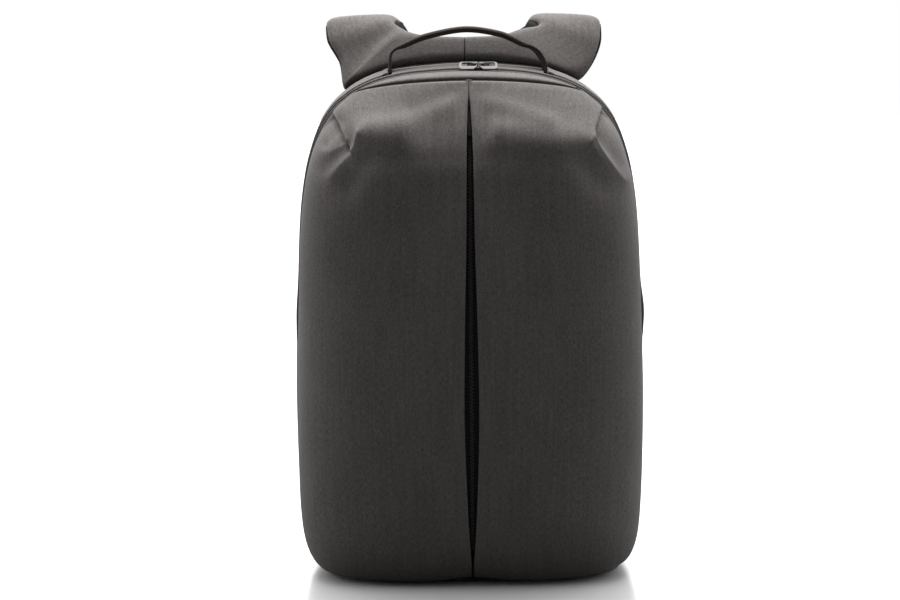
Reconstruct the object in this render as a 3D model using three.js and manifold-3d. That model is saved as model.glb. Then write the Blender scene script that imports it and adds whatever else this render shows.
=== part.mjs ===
// A soft commuter backpack standing on its base, all sizes in millimetres
// The front faces -Y, the wearer's back is at +Y and +Z is up
import * as THREE from "three";
import { mergeVertices } from "three/addons/utils/BufferGeometryUtils.js";
import Module from "manifold-3d";

const wasm = await Module();
wasm.setup();

// Cloth and gaps
const WALL = 2.8;
const ZIP_TAPE = 1.6;
const SEAM_GAP = 0.5;
const SEAT_GAP = 0.8;

// Depths of the body
const FRAME_SHIFT = -34.3;
const RIM_Y = 61.6;
const BACK_FRONT_Y = 62;
const BACK_REAR_Y = 71;
const BASE_THICK = 3;
const BASE_INSET = 2;

// The core that the cloth walls are thickened towards
const CORE_MIN = new THREE.Vector3(-95, -45, 45);
const CORE_MAX = new THREE.Vector3(95, 50, 385);

// The heart of the bag that folds are pressed towards
const HEART_MIN = new THREE.Vector3(-60, -20, 45);
const HEART_MAX = new THREE.Vector3(60, 50, 340);

// Seam in front of the zip and rim at the back, from the floor to the top centre
const SEAM_STATIONS = [
  { seamX: 117.5, seamY: 20, seamZ: 0, rimX: 117.5, rimZ: 0 },
  { seamX: 130, seamY: 20, seamZ: 5, rimX: 130, rimZ: 5 },
  { seamX: 139.6, seamY: 20, seamZ: 18, rimX: 140, rimZ: 18 },
  { seamX: 144.7, seamY: 20, seamZ: 36, rimX: 145.2, rimZ: 36 },
  { seamX: 147.3, seamY: 20, seamZ: 70, rimX: 147.6, rimZ: 70 },
  { seamX: 149, seamY: 20, seamZ: 150, rimX: 149, rimZ: 150 },
  { seamX: 146.5, seamY: 19, seamZ: 235, rimX: 147.3, rimZ: 237 },
  { seamX: 143.5, seamY: 17, seamZ: 300, rimX: 145, rimZ: 303 },
  { seamX: 138.4, seamY: 15, seamZ: 340, rimX: 140.5, rimZ: 342 },
  { seamX: 131.8, seamY: 13, seamZ: 366, rimX: 134, rimZ: 368 },
  { seamX: 123.4, seamY: 11.5, seamZ: 385.5, rimX: 125.7, rimZ: 389 },
  { seamX: 113.5, seamY: 10.5, seamZ: 398.5, rimX: 115, rimZ: 404 },
  { seamX: 104.8, seamY: 10, seamZ: 405.5, rimX: 104.8, rimZ: 413 },
  { seamX: 97, seamY: 10, seamZ: 411, rimX: 97, rimZ: 418.5 },
  { seamX: 74.5, seamY: 10, seamZ: 420.4, rimX: 74.5, rimZ: 428.3 },
  { seamX: 44, seamY: 10, seamZ: 426.6, rimX: 44, rimZ: 433.3 },
  { seamX: 0, seamY: 10, seamZ: 428.8, rimX: 0, rimZ: 436 },
];
const TOP_CENTRE = SEAM_STATIONS.length - 1;
const PANEL_CORNER = 13;

// Front panel sections, one for each seam station up to the panel's top corner
const FRONT_SECTIONS = [
  { frontY: -48, slitZ: 0, slit: 0.4, square: 3, crown: 0, flange: 4, valley: 0 },
  { frontY: -62, slitZ: 5, slit: 0.4, square: 3, crown: 1, flange: 6, valley: 0 },
  { frontY: -71, slitZ: 16, slit: 0.6, square: 3, crown: 1.5, flange: 9, valley: 0 },
  { frontY: -76.5, slitZ: 36, slit: 1.8, square: 2.9, crown: 2, flange: 9, valley: 0 },
  { frontY: -79, slitZ: 70, slit: 3.6, square: 2.7, crown: 2, flange: 9, valley: 0 },
  { frontY: -79.7, slitZ: 150, slit: 5.8, square: 2.6, crown: 2, flange: 9, valley: 0 },
  { frontY: -79.7, slitZ: 235, slit: 4.6, square: 2.6, crown: 2, flange: 9, valley: 1.5 },
  { frontY: -79.4, slitZ: 300, slit: 3, square: 2.6, crown: 2, flange: 9, valley: 6 },
  { frontY: -78.5, slitZ: 342, slit: 2.6, square: 2.6, crown: 1.5, flange: 9, valley: 11 },
  { frontY: -74, slitZ: 362, slit: 2.4, square: 2.6, crown: 1, flange: 9, valley: 12 },
  { frontY: -63, slitZ: 379, slit: 2, square: 2.55, crown: 1, flange: 9, valley: 9 },
  { frontY: -46.5, slitZ: 395.5, slit: 1.2, square: 2.35, crown: 1, flange: 9, valley: 4 },
  { frontY: -31, slitZ: 411, slit: 0.5, square: 2.1, crown: 1, flange: 5, valley: 1 },
  { frontY: -20, slitZ: 423.4, slit: 0.4, square: 1.8, crown: 0, flange: 1.5, valley: 0 },
];
const VALLEY_REACH = 36;
const FLANGE_DEEP = 9;
const FLANGE_FLARE = 3.4;
const SLIT_ROLL = 3.2;
const ROLL_MID = 0.9;
const SLIT_LIFT = 4;
const SLIT_LIFT_REACH = 26;
const SLIT_LIFT_TOP = 40;

// Darts and creases in the cloth, as lines in the front view; a negative depth stands out
const FOLDS = [
  { name: "left dart", x1: -121, z1: 394, x2: -106, z2: 370, depth: 6, reach: 8 },
  { name: "left crease", x1: -98, z1: 379, x2: -121, z2: 346, depth: -4, reach: 8 },
  { name: "left hollow", x1: -86, z1: 366, x2: -106, z2: 338, depth: 4.5, reach: 11 },
  { name: "left shoulder", x1: -62, z1: 379, x2: -84, z2: 377, depth: -8.5, reach: 14 },
  { name: "right dart", x1: 121, z1: 396, x2: 107, z2: 379, depth: 6, reach: 8 },
  { name: "right crease", x1: 104, z1: 369, x2: 130, z2: 334, depth: -4, reach: 8 },
  { name: "right hollow", x1: 92, z1: 360, x2: 112, z2: 338, depth: 4.5, reach: 10 },
  { name: "right shoulder", x1: 26, z1: 377, x2: 84, z2: 374, depth: -6.5, reach: 14 },
];

// Band between the front panels and the zip
const BAND_HALF = 94;
const BAND_DROP = 1.8;
const BAND_BACK = 1.2;
const BAND_ROLL = 2;

// Main zip across its width, as shares of the way from the seam to the rim
const ZIP_PROFILE = [
  { share: 0.01, rise: 0 },
  { share: 0.05, rise: 0 },
  { share: 0.062, rise: 1.2 },
  { share: 0.1, rise: 1.2 },
  { share: 0.112, rise: 0 },
  { share: 0.15, rise: 0 },
];
const GUSSET_START = 0.162;
const ZIP_END = 5.56;
const GUSSET_STEP_LOW = 5.52;
const GUSSET_STEP_HIGH = 5.54;
const RISE_POWER = 4;
const BULGE_Z = 222;
const BULGE_REACH = 22;
const BULGE_LEFT = 1.5;
const BULGE_RIGHT = 3.5;
const BULGE_BACK = 0.8;

// Carry handle along its length, from the left foot to the right foot
const HANDLE_Y = 39;
const HANDLE_FOOT_X = 66.8;
const FOOT_SLOT = 4;
const HANDLE_PATH = [
  { x: -66.8, z: 425.5, thick: 2.8, width: 22 },
  { x: -66.7, z: 438, thick: 2.8, width: 22 },
  { x: -65.6, z: 443.6, thick: 2.8, width: 21 },
  { x: -61.5, z: 448, thick: 3.4, width: 19 },
  { x: -54.5, z: 450.6, thick: 4.8, width: 15 },
  { x: -35, z: 458.2, thick: 5.4, width: 14 },
  { x: -1, z: 464, thick: 5.4, width: 14 },
  { x: 27, z: 460, thick: 5.4, width: 14 },
  { x: 47, z: 451.4, thick: 5, width: 15 },
  { x: 55, z: 448.3, thick: 3.6, width: 19 },
  { x: 60.8, z: 443.4, thick: 2.8, width: 21 },
  { x: 66.3, z: 432.6, thick: 2.8, width: 22 },
  { x: 66.8, z: 425.5, thick: 2.8, width: 22 },
];

// Shoulder strap with its half of the yoke, from the centre seam over the crest and down the back;
// the lean sets both straps over to one side
const STRAP_ROWS = [
  { inX: 0.5, inY: 76, inZ: 456.5, outX: 0.5, outY: 68.5, outZ: 437, pad: 6, lean: -2 },
  { inX: 28, inY: 76.5, inZ: 457.6, outX: 42, outY: 68.5, outZ: 435, pad: 6, lean: -3 },
  { inX: 44, inY: 78.5, inZ: 460.5, outX: 78, outY: 68.5, outZ: 428, pad: 6.5, lean: -4 },
  { inX: 49.5, inY: 82, inZ: 462.5, outX: 100.5, outY: 70, outZ: 416, pad: 7, lean: -4.8 },
  { inX: 57, inY: 87, inZ: 467, outX: 111, outY: 81, outZ: 437, pad: 7, lean: 0 },
  { inX: 59.5, inY: 93, inZ: 470, outX: 119, outY: 91, outZ: 456, pad: 7, lean: -2 },
  { inX: 58.5, inY: 104, inZ: 470.5, outX: 120.5, outY: 103, outZ: 467.6, pad: 7.5, lean: -2.6 },
  { inX: 54, inY: 116, inZ: 466, outX: 119, outY: 116, outZ: 466, pad: 7.5, lean: -1 },
  { inX: 47, inY: 127.5, inZ: 450, outX: 108, outY: 128.5, outZ: 448, pad: 7.5, lean: 0 },
  { inX: 43, inY: 135, inZ: 418, outX: 98, outY: 136, outZ: 416, pad: 7.5, lean: 0 },
  { inX: 42, inY: 140, inZ: 368, outX: 96, outY: 141, outZ: 366, pad: 7.5, lean: 0 },
  { inX: 46, inY: 138, inZ: 310, outX: 96, outY: 139, outZ: 308, pad: 7.5, lean: 0 },
  { inX: 57, inY: 131, inZ: 254, outX: 98, outY: 132, outZ: 252, pad: 7.2, lean: 0 },
  { inX: 67, inY: 121, inZ: 206, outX: 100.5, outY: 122, outZ: 205, pad: 7, lean: 0 },
  { inX: 74, inY: 110, inZ: 166, outX: 102, outY: 110, outZ: 166, pad: 6.2, lean: 0 },
];
const STRAP_SEWN_ROWS = 3;
const LINING_THICK = 3;
const LINING_SPLIT = 0.2;
const EDGE_THINNING = 0.45;

// Strap adjuster under the end of each strap
const LOCK_TURN = -0.275;
const LOCK_X = 88;
const LOCK_Y = 106;
const LOCK_Z = 151.4;
const LOCK_WIDE = 33;
const LOCK_TALL = 27;
const LOCK_THICK = 4;
const LOCK_SLOT_WIDE = 26.6;
const LOCK_SLOTS = [
  { low: -8.5, high: -2 },
  { low: 3.2, high: 9.2 },
];

// Lower webbing: round the middle bar of the adjuster, in the adjuster's own plane
const WEB_WIDE = 25;
const WEB_THICK = 1.6;
const WEB_ROUND_BAR = [
  { y: -3.3, z: -14 },
  { y: -3.3, z: 1 },
  { y: -2.4, z: 4.8 },
  { y: 0, z: 6.1 },
  { y: 2.4, z: 4.8 },
  { y: 3.3, z: 1 },
  { y: 3.6, z: -16 },
];
const WEB_ANCHOR = [
  { x: 117, y: 72.2, z: 26 },
  { x: 116.5, y: 72.2, z: 42 },
  { x: 115, y: 74.6, z: 54 },
  { x: 104, y: 88, z: 92 },
];
const WEB_TAIL = [
  { x: 88, y: 108, z: 112 },
  { x: 88.5, y: 108.5, z: 84 },
  { x: 90, y: 107.5, z: 52 },
];

// Zip sliders and pullers on the top of the bag
const SLIDERS_MEET_X = 8.8;
const SLIDER_SPREAD = 2.6;
const SLIDER_SHARE = 0.081;
const SLIDER_LIFT = 1.6;
const SLIDER_TILT = 0.6;
const SLIDER_LONG = 9.2;
const SLIDER_WIDE = 6.8;
const SLIDER_PLATE = 1;
const SLIDER_OFFSET = 2.4;
const BAIL_WIDE = 2.4;
const BAIL_WALL = 0.8;
const TUNNEL_HALF = 1.5;
const TUNNEL_HIGH = 2.4;
const PIVOT_HIGH = 1.2;
const PULLER_LONG = 13.8;
const PULLER_FRONT = 7.4;
const PULLER_REAR = 3;
const PULLER_THICK = 1.5;
const PULLER_BAR = 0.8;
const PULLER_SLANT = 2.6;
const PULLER_ROUND = 3.4;
const HOLE_FRONT = 3.4;
const HOLE_REAR = 1.9;
const HOLE_ROUND = 2;
const HOLE_END = 11.6;

// Zip behind the slit of the front
const FRONT_ZIP_FROM = 2.6;
const FRONT_ZIP_TO = 12.3;
const FRONT_ZIP_PROFILE = [
  { x: -10, rise: 0 },
  { x: -2.6, rise: 0 },
  { x: -2.2, rise: 1.4 },
  { x: 2.2, rise: 1.4 },
  { x: 2.6, rise: 0 },
  { x: 10, rise: 0 },
];
const FRONT_SLIDER_AT = 11.2;
const FRONT_SLIDER_HALF = 1.9;
const FRONT_SLIDER_LONG = 9;
const FRONT_SLIDER_THICK = 3;
const FRONT_TAB_LONG = 24;
const FRONT_TAB_HALF = 1.5;
const FRONT_TAB_THICK = 1.2;
const FRONT_SLIDER_GAP = 0.4;

// How finely each piece is cut into facets
const FRONT_ROWS = 26;
const SECTION_STEPS = 11;
const BAND_STEPS = 24;
const ZIP_STEPS = 22;
const STRAP_STEPS = 28;
const STRAP_ACROSS = 5;
const HANDLE_STEPS = 26;
const OUTLINE_STEPS = 22;
const WEB_STEPS = 30;

const CLOTH = { color: 0x4d4a48, roughness: 0.95, metalness: 0 };
const DARK_CLOTH = { color: 0x34312f, roughness: 0.95, metalness: 0 };
const MESH_CLOTH = { color: 0x1d1c1c, roughness: 0.95, metalness: 0 };
const WEBBING = { color: 0x2d2825, roughness: 0.9, metalness: 0 };
const ZIP_BLACK = { color: 0x121212, roughness: 0.7, metalness: 0 };
const ZIP_GREY = { color: 0x454341, roughness: 0.9, metalness: 0 };
const PLASTIC = { color: 0x161616, roughness: 0.5, metalness: 0 };
const STEEL = { color: 0xb4b2b0, roughness: 0.18, metalness: 1 };

// A smooth run through one column of a table, with the row number as its parameter
function column(rows, name, levelEnd = false) {
  const values = rows.map((row) => row[name]);
  const last = values.length - 1;
  function slope(i) {
    if (i === 0) return values[1] - values[0];
    if (i === last) return levelEnd ? 0 : values[last] - values[last - 1];
    const before = values[i] - values[i - 1];
    const after = values[i + 1] - values[i];
    return before * after <= 0 ? 0 : (2 * before * after) / (before + after);
  }
  return (t) => {
    const i = Math.max(0, Math.min(Math.floor(t), last - 1));
    const s = t - i;
    const a = values[i] * (2 * s ** 3 - 3 * s ** 2 + 1);
    const b = values[i + 1] * (3 * s ** 2 - 2 * s ** 3);
    const c = slope(i) * (s ** 3 - 2 * s ** 2 + s);
    const d = slope(i + 1) * (s ** 3 - s ** 2);
    return a + b + c + d;
  };
}

const seamX = column(SEAM_STATIONS, "seamX");
const seamY = column(SEAM_STATIONS, "seamY");
const seamZ = column(SEAM_STATIONS, "seamZ", true);
const rimX = column(SEAM_STATIONS, "rimX");
const rimZ = column(SEAM_STATIONS, "rimZ", true);
const frontY = column(FRONT_SECTIONS, "frontY");
const valley = column(FRONT_SECTIONS, "valley");
const slitY = (t) => frontY(t) + valley(t);
const slitZ = column(FRONT_SECTIONS, "slitZ");
const slitHalf = column(FRONT_SECTIONS, "slit");
const square = column(FRONT_SECTIONS, "square");
const crown = column(FRONT_SECTIONS, "crown");
const flangeDeep = column(FRONT_SECTIONS, "flange");

// Station on the top arch where a column passes a given half width
function stationAt(widthColumn, x) {
  let low = 4;
  let high = TOP_CENTRE;
  for (let i = 0; i < 40; i += 1) {
    const mid = (low + high) / 2;
    if (mid > 5 && widthColumn(mid) < x) high = mid;
    else low = mid;
  }
  return (low + high) / 2;
}

function towards(p, low, high) {
  const inside = p.clone().clamp(low, high);
  return inside.sub(p).normalize();
}

const towardsCore = (p) => towards(p, CORE_MIN, CORE_MAX);

function closedGeometry(points, faces) {
  const positions = new Float32Array(points.length * 3);
  points.forEach((p, i) => p.toArray(positions, i * 3));
  let volume = 0;
  for (const [a, b, c] of faces) {
    volume += points[a].dot(points[b].clone().cross(points[c]));
  }
  const index = faces.flatMap(([a, b, c]) => (volume > 0 ? [a, b, c] : [a, c, b]));
  const geometry = new THREE.BufferGeometry();
  geometry.setAttribute("position", new THREE.BufferAttribute(positions, 3));
  geometry.setIndex(index);
  geometry.computeVertexNormals();
  return geometry;
}

// A cloth wall from two grids of points, closed round its rim
function wall(outer, inner) {
  const rows = outer.length;
  const columns = outer[0].length;
  const points = [...outer.flat(), ...inner.flat()];
  const half = rows * columns;
  const faces = [];
  const quad = (a, b, c, d) => faces.push([a, b, c], [a, c, d]);
  const at = (i, j) => i * columns + j;
  for (let i = 0; i + 1 < rows; i += 1) {
    for (let j = 0; j + 1 < columns; j += 1) {
      quad(at(i, j), at(i, j + 1), at(i + 1, j + 1), at(i + 1, j));
      quad(half + at(i, j), half + at(i + 1, j), half + at(i + 1, j + 1), half + at(i, j + 1));
    }
  }
  const rim = [];
  for (let j = 0; j < columns - 1; j += 1) rim.push(at(0, j));
  for (let i = 0; i < rows - 1; i += 1) rim.push(at(i, columns - 1));
  for (let j = columns - 1; j > 0; j -= 1) rim.push(at(rows - 1, j));
  for (let i = rows - 1; i > 0; i -= 1) rim.push(at(i, 0));
  rim.forEach((a, k) => {
    const b = rim[(k + 1) % rim.length];
    quad(a, half + a, half + b, b);
  });
  return closedGeometry(points, faces);
}

// A solid lofted through rings of points, with flat ends
function loft(rings) {
  const around = rings[0].length;
  const points = rings.flat();
  const faces = [];
  for (let i = 0; i + 1 < rings.length; i += 1) {
    for (let j = 0; j < around; j += 1) {
      const a = i * around + j;
      const b = i * around + ((j + 1) % around);
      faces.push([a, b, b + around], [a, b + around, a + around]);
    }
  }
  const lastRing = (rings.length - 1) * around;
  for (let j = 1; j + 1 < around; j += 1) {
    faces.push([0, j + 1, j], [lastRing, lastRing + j, lastRing + j + 1]);
  }
  return closedGeometry(points, faces);
}

// A slab lofted through outlines with the same number of points, whose ends are cut into triangles
function slab(outlines, flatOutline) {
  const around = outlines[0].length;
  const points = outlines.flat();
  const faces = [];
  for (let i = 0; i + 1 < outlines.length; i += 1) {
    for (let j = 0; j < around; j += 1) {
      const a = i * around + j;
      const b = i * around + ((j + 1) % around);
      faces.push([a, b, b + around], [a, b + around, a + around]);
    }
  }
  const lastRing = (outlines.length - 1) * around;
  const turned = THREE.ShapeUtils.area(flatOutline) > 0;
  for (const [a, b, c] of THREE.ShapeUtils.triangulateShape(flatOutline, [])) {
    faces.push(turned ? [a, c, b] : [a, b, c]);
    const far = [lastRing + a, lastRing + b, lastRing + c];
    faces.push(turned ? far : [far[0], far[2], far[1]]);
  }
  return closedGeometry(points, faces);
}

function mirrored(geometry) {
  const turned = geometry.clone();
  turned.scale(-1, 1, 1);
  const index = Array.from(turned.index.array);
  for (let i = 0; i < index.length; i += 3) {
    [index[i + 1], index[i + 2]] = [index[i + 2], index[i + 1]];
  }
  turned.setIndex(index);
  return turned;
}

function asManifold(geometry) {
  const bare = geometry.clone();
  bare.deleteAttribute("normal");
  bare.deleteAttribute("uv");
  const merged = mergeVertices(bare, 1e-4);
  const vertProperties = new Float32Array(merged.attributes.position.array);
  const triVerts = new Uint32Array(merged.index.array);
  return new wasm.Manifold(new wasm.Mesh({ numProp: 3, vertProperties, triVerts }));
}

function joined(...geometries) {
  const whole = geometries.map(asManifold).reduce((a, b) => a.add(b));
  const mesh = whole.getMesh();
  const geometry = new THREE.BufferGeometry();
  geometry.setAttribute("position", new THREE.BufferAttribute(new Float32Array(mesh.vertProperties), 3));
  geometry.setIndex(Array.from(mesh.triVerts));
  geometry.computeVertexNormals();
  return geometry;
}

const steps = (from, to, count) =>
  Array.from({ length: count + 1 }, (_, i) => from + ((to - from) * i) / count);

// How far the folds press a point of the front in
function foldDepth(p) {
  let depth = 0;
  for (const fold of FOLDS) {
    const run = new THREE.Vector2(fold.x2 - fold.x1, fold.z2 - fold.z1);
    const off = new THREE.Vector2(p.x - fold.x1, p.z - fold.z1);
    const along = THREE.MathUtils.clamp(off.dot(run) / run.lengthSq(), 0, 1);
    const distance = off.sub(run.multiplyScalar(along)).length();
    depth += fold.depth * Math.exp(-((distance / fold.reach) ** 2));
  }
  return depth;
}

// Inward direction at the slit, square to the front's centre line and straight down at its top
function slitInward(t) {
  if (t === PANEL_CORNER) return new THREE.Vector3(0, 0, -1);
  const a = Math.max(0, t - 0.05);
  const b = Math.min(PANEL_CORNER, t + 0.05);
  const dy = slitY(b) - slitY(a);
  const dz = slitZ(b) - slitZ(a);
  return new THREE.Vector3(0, dz, -dy).normalize();
}

function sectionPoint(t, angle, side) {
  const power = 2 / square(t);
  const across = Math.sin(angle) ** power;
  const ahead = angle > Math.PI / 2 - 1e-6 ? 0 : Math.cos(angle) ** power;
  const start = slitHalf(t) + SLIT_ROLL;
  const edgeY = seamY(t) - SEAM_GAP;
  const x = start + (seamX(t) - start) * across;
  const sunk = valley(t) * Math.exp(-(((x - start) / VALLEY_REACH) ** 2));
  const y = edgeY + (frontY(t) - edgeY) * ahead - crown(t) * Math.sin(Math.PI * across ** 2) + sunk;
  const z = seamZ(t) + (slitZ(t) - seamZ(t)) * ahead;
  const nearFloor = Math.max(0, 1 - z / SLIT_LIFT_TOP);
  const lift = SLIT_LIFT * nearFloor * Math.exp(-((x / SLIT_LIFT_REACH) ** 2));
  const p = new THREE.Vector3(side * x, y, z + lift);
  const press = foldDepth(p) * Math.sin(Math.PI * Math.min(1, across)) ** 0.3;
  return p.addScaledVector(towards(p, HEART_MIN, HEART_MAX), across < 1 ? press : 0);
}

// One row of a front panel: the flange in the slit, the rolled edge, then round to the side seam
function frontRow(t, side) {
  const inward = slitInward(t);
  const sideways = new THREE.Vector3(side, 0, 0);
  const edge = new THREE.Vector3(0, slitY(t), slitZ(t));
  edge.z += SLIT_LIFT * Math.max(0, 1 - edge.z / SLIT_LIFT_TOP);
  const beside = (x) => edge.clone().addScaledVector(sideways, slitHalf(t) + x);
  const at = (x, deep) => beside(x).addScaledVector(inward, deep);
  const deep = flangeDeep(t);
  const flare = (FLANGE_FLARE * deep) / FLANGE_DEEP;
  const bend = Math.min(SLIT_ROLL, deep / 2);
  const outer = [at(flare, deep), at(ROLL_MID / 2, bend), at(ROLL_MID, Math.min(ROLL_MID, bend / 2))];
  const rolled = sideways.clone().add(inward).normalize();
  const inner = [sideways, sideways, rolled].map((way, i) => outer[i].clone().addScaledVector(way, WALL));
  for (const angle of steps(0, Math.PI / 2, SECTION_STEPS)) {
    const p = sectionPoint(t, angle, side);
    const way = angle === 0 ? inward : towardsCore(p);
    outer.push(p);
    inner.push(p.clone().addScaledVector(way, WALL));
  }
  return { outer, inner };
}

function frontPanel(side) {
  const rows = steps(0, PANEL_CORNER, FRONT_ROWS).map((t) => frontRow(t, side));
  return wall(rows.map((row) => row.outer), rows.map((row) => row.inner));
}

// Body surface behind the seam: share 0 is the seam, share 1 is the rim
function gussetPoint(q, share, side) {
  const rise = 1 - (1 - share) ** RISE_POWER;
  const x = seamX(q) + (rimX(q) - seamX(q)) * rise;
  const y = seamY(q) + (RIM_Y - seamY(q)) * share;
  const z = seamZ(q) + (rimZ(q) - seamZ(q)) * rise;
  const height = Math.exp(-(((z - BULGE_Z) / BULGE_REACH) ** 2));
  const bulge = (side > 0 ? BULGE_RIGHT : BULGE_LEFT) * height * (q < TOP_CENTRE - 4 ? 1 : 0);
  const fade = Math.sin(Math.PI * Math.min(1, share / BULGE_BACK)) ** 0.5 || 0;
  return new THREE.Vector3(side * (x + bulge * fade), y, z);
}

function strip(stations, shares, thick, riseAt = () => 0) {
  const outer = stations.map(({ q, side }) => shares(q).map((share, j) => {
    const p = gussetPoint(q, share, side);
    return p.addScaledVector(towardsCore(p), -riseAt(j));
  }));
  const inner = stations.map(({ q, side }) => shares(q).map((share) => {
    const p = gussetPoint(q, share, side);
    return p.addScaledVector(towardsCore(p), thick);
  }));
  return wall(outer, inner);
}

// Stations that run from the left end over the top to the right end
function overTop(from, count) {
  const rising = steps(from, TOP_CENTRE, count).map((q) => ({ q, side: -1 }));
  const falling = steps(TOP_CENTRE, from, count).slice(1).map((q) => ({ q, side: 1 }));
  return [...rising, ...falling];
}

function mainZip() {
  const shares = ZIP_PROFILE.map((row) => row.share);
  return strip(overTop(ZIP_END, ZIP_STEPS), () => shares, ZIP_TAPE, (j) => ZIP_PROFILE[j].rise);
}

const FOOT_OUTER = stationAt(rimX, HANDLE_FOOT_X + FOOT_SLOT / 2);
const FOOT_INNER = stationAt(rimX, HANDLE_FOOT_X - FOOT_SLOT / 2);

function sideGusset(side) {
  const low = [...steps(0, 2, 4), ...steps(2.7, 5, 3), GUSSET_STEP_LOW];
  const high = [GUSSET_STEP_HIGH, ...steps(6, FOOT_OUTER, 14)];
  const stations = [...low, ...high].map((q) => ({ q, side }));
  const shares = (q) => steps(q < ZIP_END - 0.03 ? ZIP_PROFILE[0].share : GUSSET_START, 1, 4);
  return strip(stations, shares, WALL);
}

function topGusset() {
  return strip(overTop(FOOT_INNER, 5), () => steps(GUSSET_START, 1, 4), WALL);
}

// Top edge of the front panels at a given distance from the centre
function panelTop(x) {
  const n = square(PANEL_CORNER);
  const across = Math.min(1, Math.abs(x) / seamX(PANEL_CORNER));
  const ahead = (1 - across ** n) ** (1 / n);
  const edgeY = seamY(PANEL_CORNER) - SEAM_GAP;
  const y = edgeY + (slitY(PANEL_CORNER) - edgeY) * ahead;
  const z = seamZ(PANEL_CORNER) + (slitZ(PANEL_CORNER) - seamZ(PANEL_CORNER)) * ahead;
  return new THREE.Vector3(x, y, z);
}

function topBand() {
  const rowsOfPoints = steps(-BAND_HALF, BAND_HALF, BAND_STEPS).map((x) => {
    const front = panelTop(x).add(new THREE.Vector3(0, BAND_BACK, -BAND_DROP));
    const q = stationAt(seamX, Math.abs(x));
    const rear = new THREE.Vector3(x, seamY(q) - SEAM_GAP, seamZ(q));
    return steps(0, 1, 3).map((f) => {
      const p = front.clone().lerp(rear, f);
      p.z += BAND_ROLL * Math.sin(Math.PI * f) * (1 - (Math.abs(x) / BAND_HALF) ** 4);
      return p;
    });
  });
  const inner = rowsOfPoints.map((row) => row.map((p) => p.clone().addScaledVector(towardsCore(p), WALL)));
  return wall(rowsOfPoints, inner);
}

function backPanel() {
  const rounds = [
    { y: BACK_FRONT_Y, inset: 0 },
    { y: 68, inset: 0 },
    { y: 70.2, inset: 1.2 },
    { y: BACK_REAR_Y, inset: 3.5 },
  ];
  const half = steps(0, TOP_CENTRE, OUTLINE_STEPS).map((q) => new THREE.Vector2(rimX(q), rimZ(q)));
  const other = half.slice(0, -1).reverse().map((p) => new THREE.Vector2(-p.x, p.y));
  const outline = [...half, ...other];
  const outlines = rounds.map(({ y, inset }) => outline.map((p) => {
    const rim = new THREE.Vector3(p.x, 0, p.y);
    const way = towardsCore(rim);
    return rim.addScaledVector(way, inset).setY(y);
  }));
  return slab(outlines, outline);
}

function basePanel() {
  const middle = new THREE.Vector3(0, seamY(0), 0);
  const front = steps(0, Math.PI / 2, 9).map((angle) => {
    const p = sectionPoint(0, angle, 1).setZ(0);
    return p.addScaledVector(middle.clone().sub(p).normalize(), BASE_INSET);
  });
  front[0].x = 0;
  front.push(new THREE.Vector3(seamX(0) - BASE_INSET, RIM_Y - SEAM_GAP / 2, 0));
  const other = front.slice(1).reverse().map((p) => new THREE.Vector3(-p.x, p.y, 0));
  const outline = [...front, ...other];
  const raised = outline.map((p) => p.clone().setZ(BASE_THICK));
  return slab([outline, raised], outline.map((p) => new THREE.Vector2(p.x, p.y)));
}

// Rounded bar section, wide along Y
const HANDLE_SECTION = [
  { across: -1, up: -0.4 },
  { across: -0.8, up: -1 },
  { across: 0.8, up: -1 },
  { across: 1, up: -0.4 },
  { across: 1, up: 0.4 },
  { across: 0.8, up: 1 },
  { across: -0.8, up: 1 },
  { across: -1, up: 0.4 },
];

function carryHandle() {
  const [x, z, thick, width] = ["x", "z", "thick", "width"].map((name) => column(HANDLE_PATH, name));
  const last = HANDLE_PATH.length - 1;
  const rings = steps(0, last, HANDLE_STEPS).map((t) => {
    const a = Math.max(0, t - 0.05);
    const b = Math.min(last, t + 0.05);
    const up = new THREE.Vector3(-(z(b) - z(a)), 0, x(b) - x(a)).normalize();
    const middle = new THREE.Vector3(x(t), HANDLE_Y, z(t));
    return HANDLE_SECTION.map((corner) => middle.clone()
      .addScaledVector(up, (corner.up * thick(t)) / 2)
      .add(new THREE.Vector3(0, (corner.across * width(t)) / 2, 0)));
  });
  return loft(rings);
}

const strapColumns = Object.fromEntries(
  Object.keys(STRAP_ROWS[0]).map((name) => [name, column(STRAP_ROWS, name)]),
);

// A point of one strap's middle surface, given as for the right strap
function strapPoint(u, t, side) {
  const c = strapColumns;
  const lean = side * c.lean(t);
  const inner = new THREE.Vector3(c.inX(t) + lean, c.inY(t), c.inZ(t));
  const outer = new THREE.Vector3(c.outX(t) + lean, c.outY(t), c.outZ(t));
  if (t <= STRAP_SEWN_ROWS) outer.z = rimZ(stationAt(rimX, Math.abs(outer.x))) + SEAT_GAP;
  return inner.lerp(outer, u);
}

function strapNormal(u, t, side) {
  const last = STRAP_ROWS.length - 1;
  const across = strapPoint(u + 0.02, t, side).sub(strapPoint(u - 0.02, t, side));
  const along = strapPoint(u, Math.min(last, t + 0.1), side).sub(strapPoint(u, Math.max(0, t - 0.1), side));
  return across.cross(along).normalize();
}

// A layer of the strap between two distances from its middle surface
function strapLayer(side, lowAt, highAt) {
  const last = STRAP_ROWS.length - 1;
  const layer = (distanceAt) => steps(0, last, STRAP_STEPS).map((t) => steps(0, 1, STRAP_ACROSS).map((u) => {
    const edge = 1 - EDGE_THINNING * Math.abs(2 * u - 1) ** 4;
    const p = strapPoint(u, t, side).addScaledVector(strapNormal(u, t, side), distanceAt(t, edge));
    return t === 0 ? p.setX(strapColumns.inX(0) + side * strapColumns.lean(0)) : p;
  }));
  const strap = wall(layer(highAt), layer(lowAt));
  return side > 0 ? strap : mirrored(strap);
}

function strapPad(side) {
  return strapLayer(side, () => LINING_SPLIT, (t, edge) => LINING_SPLIT + strapColumns.pad(t) * edge);
}

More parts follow.
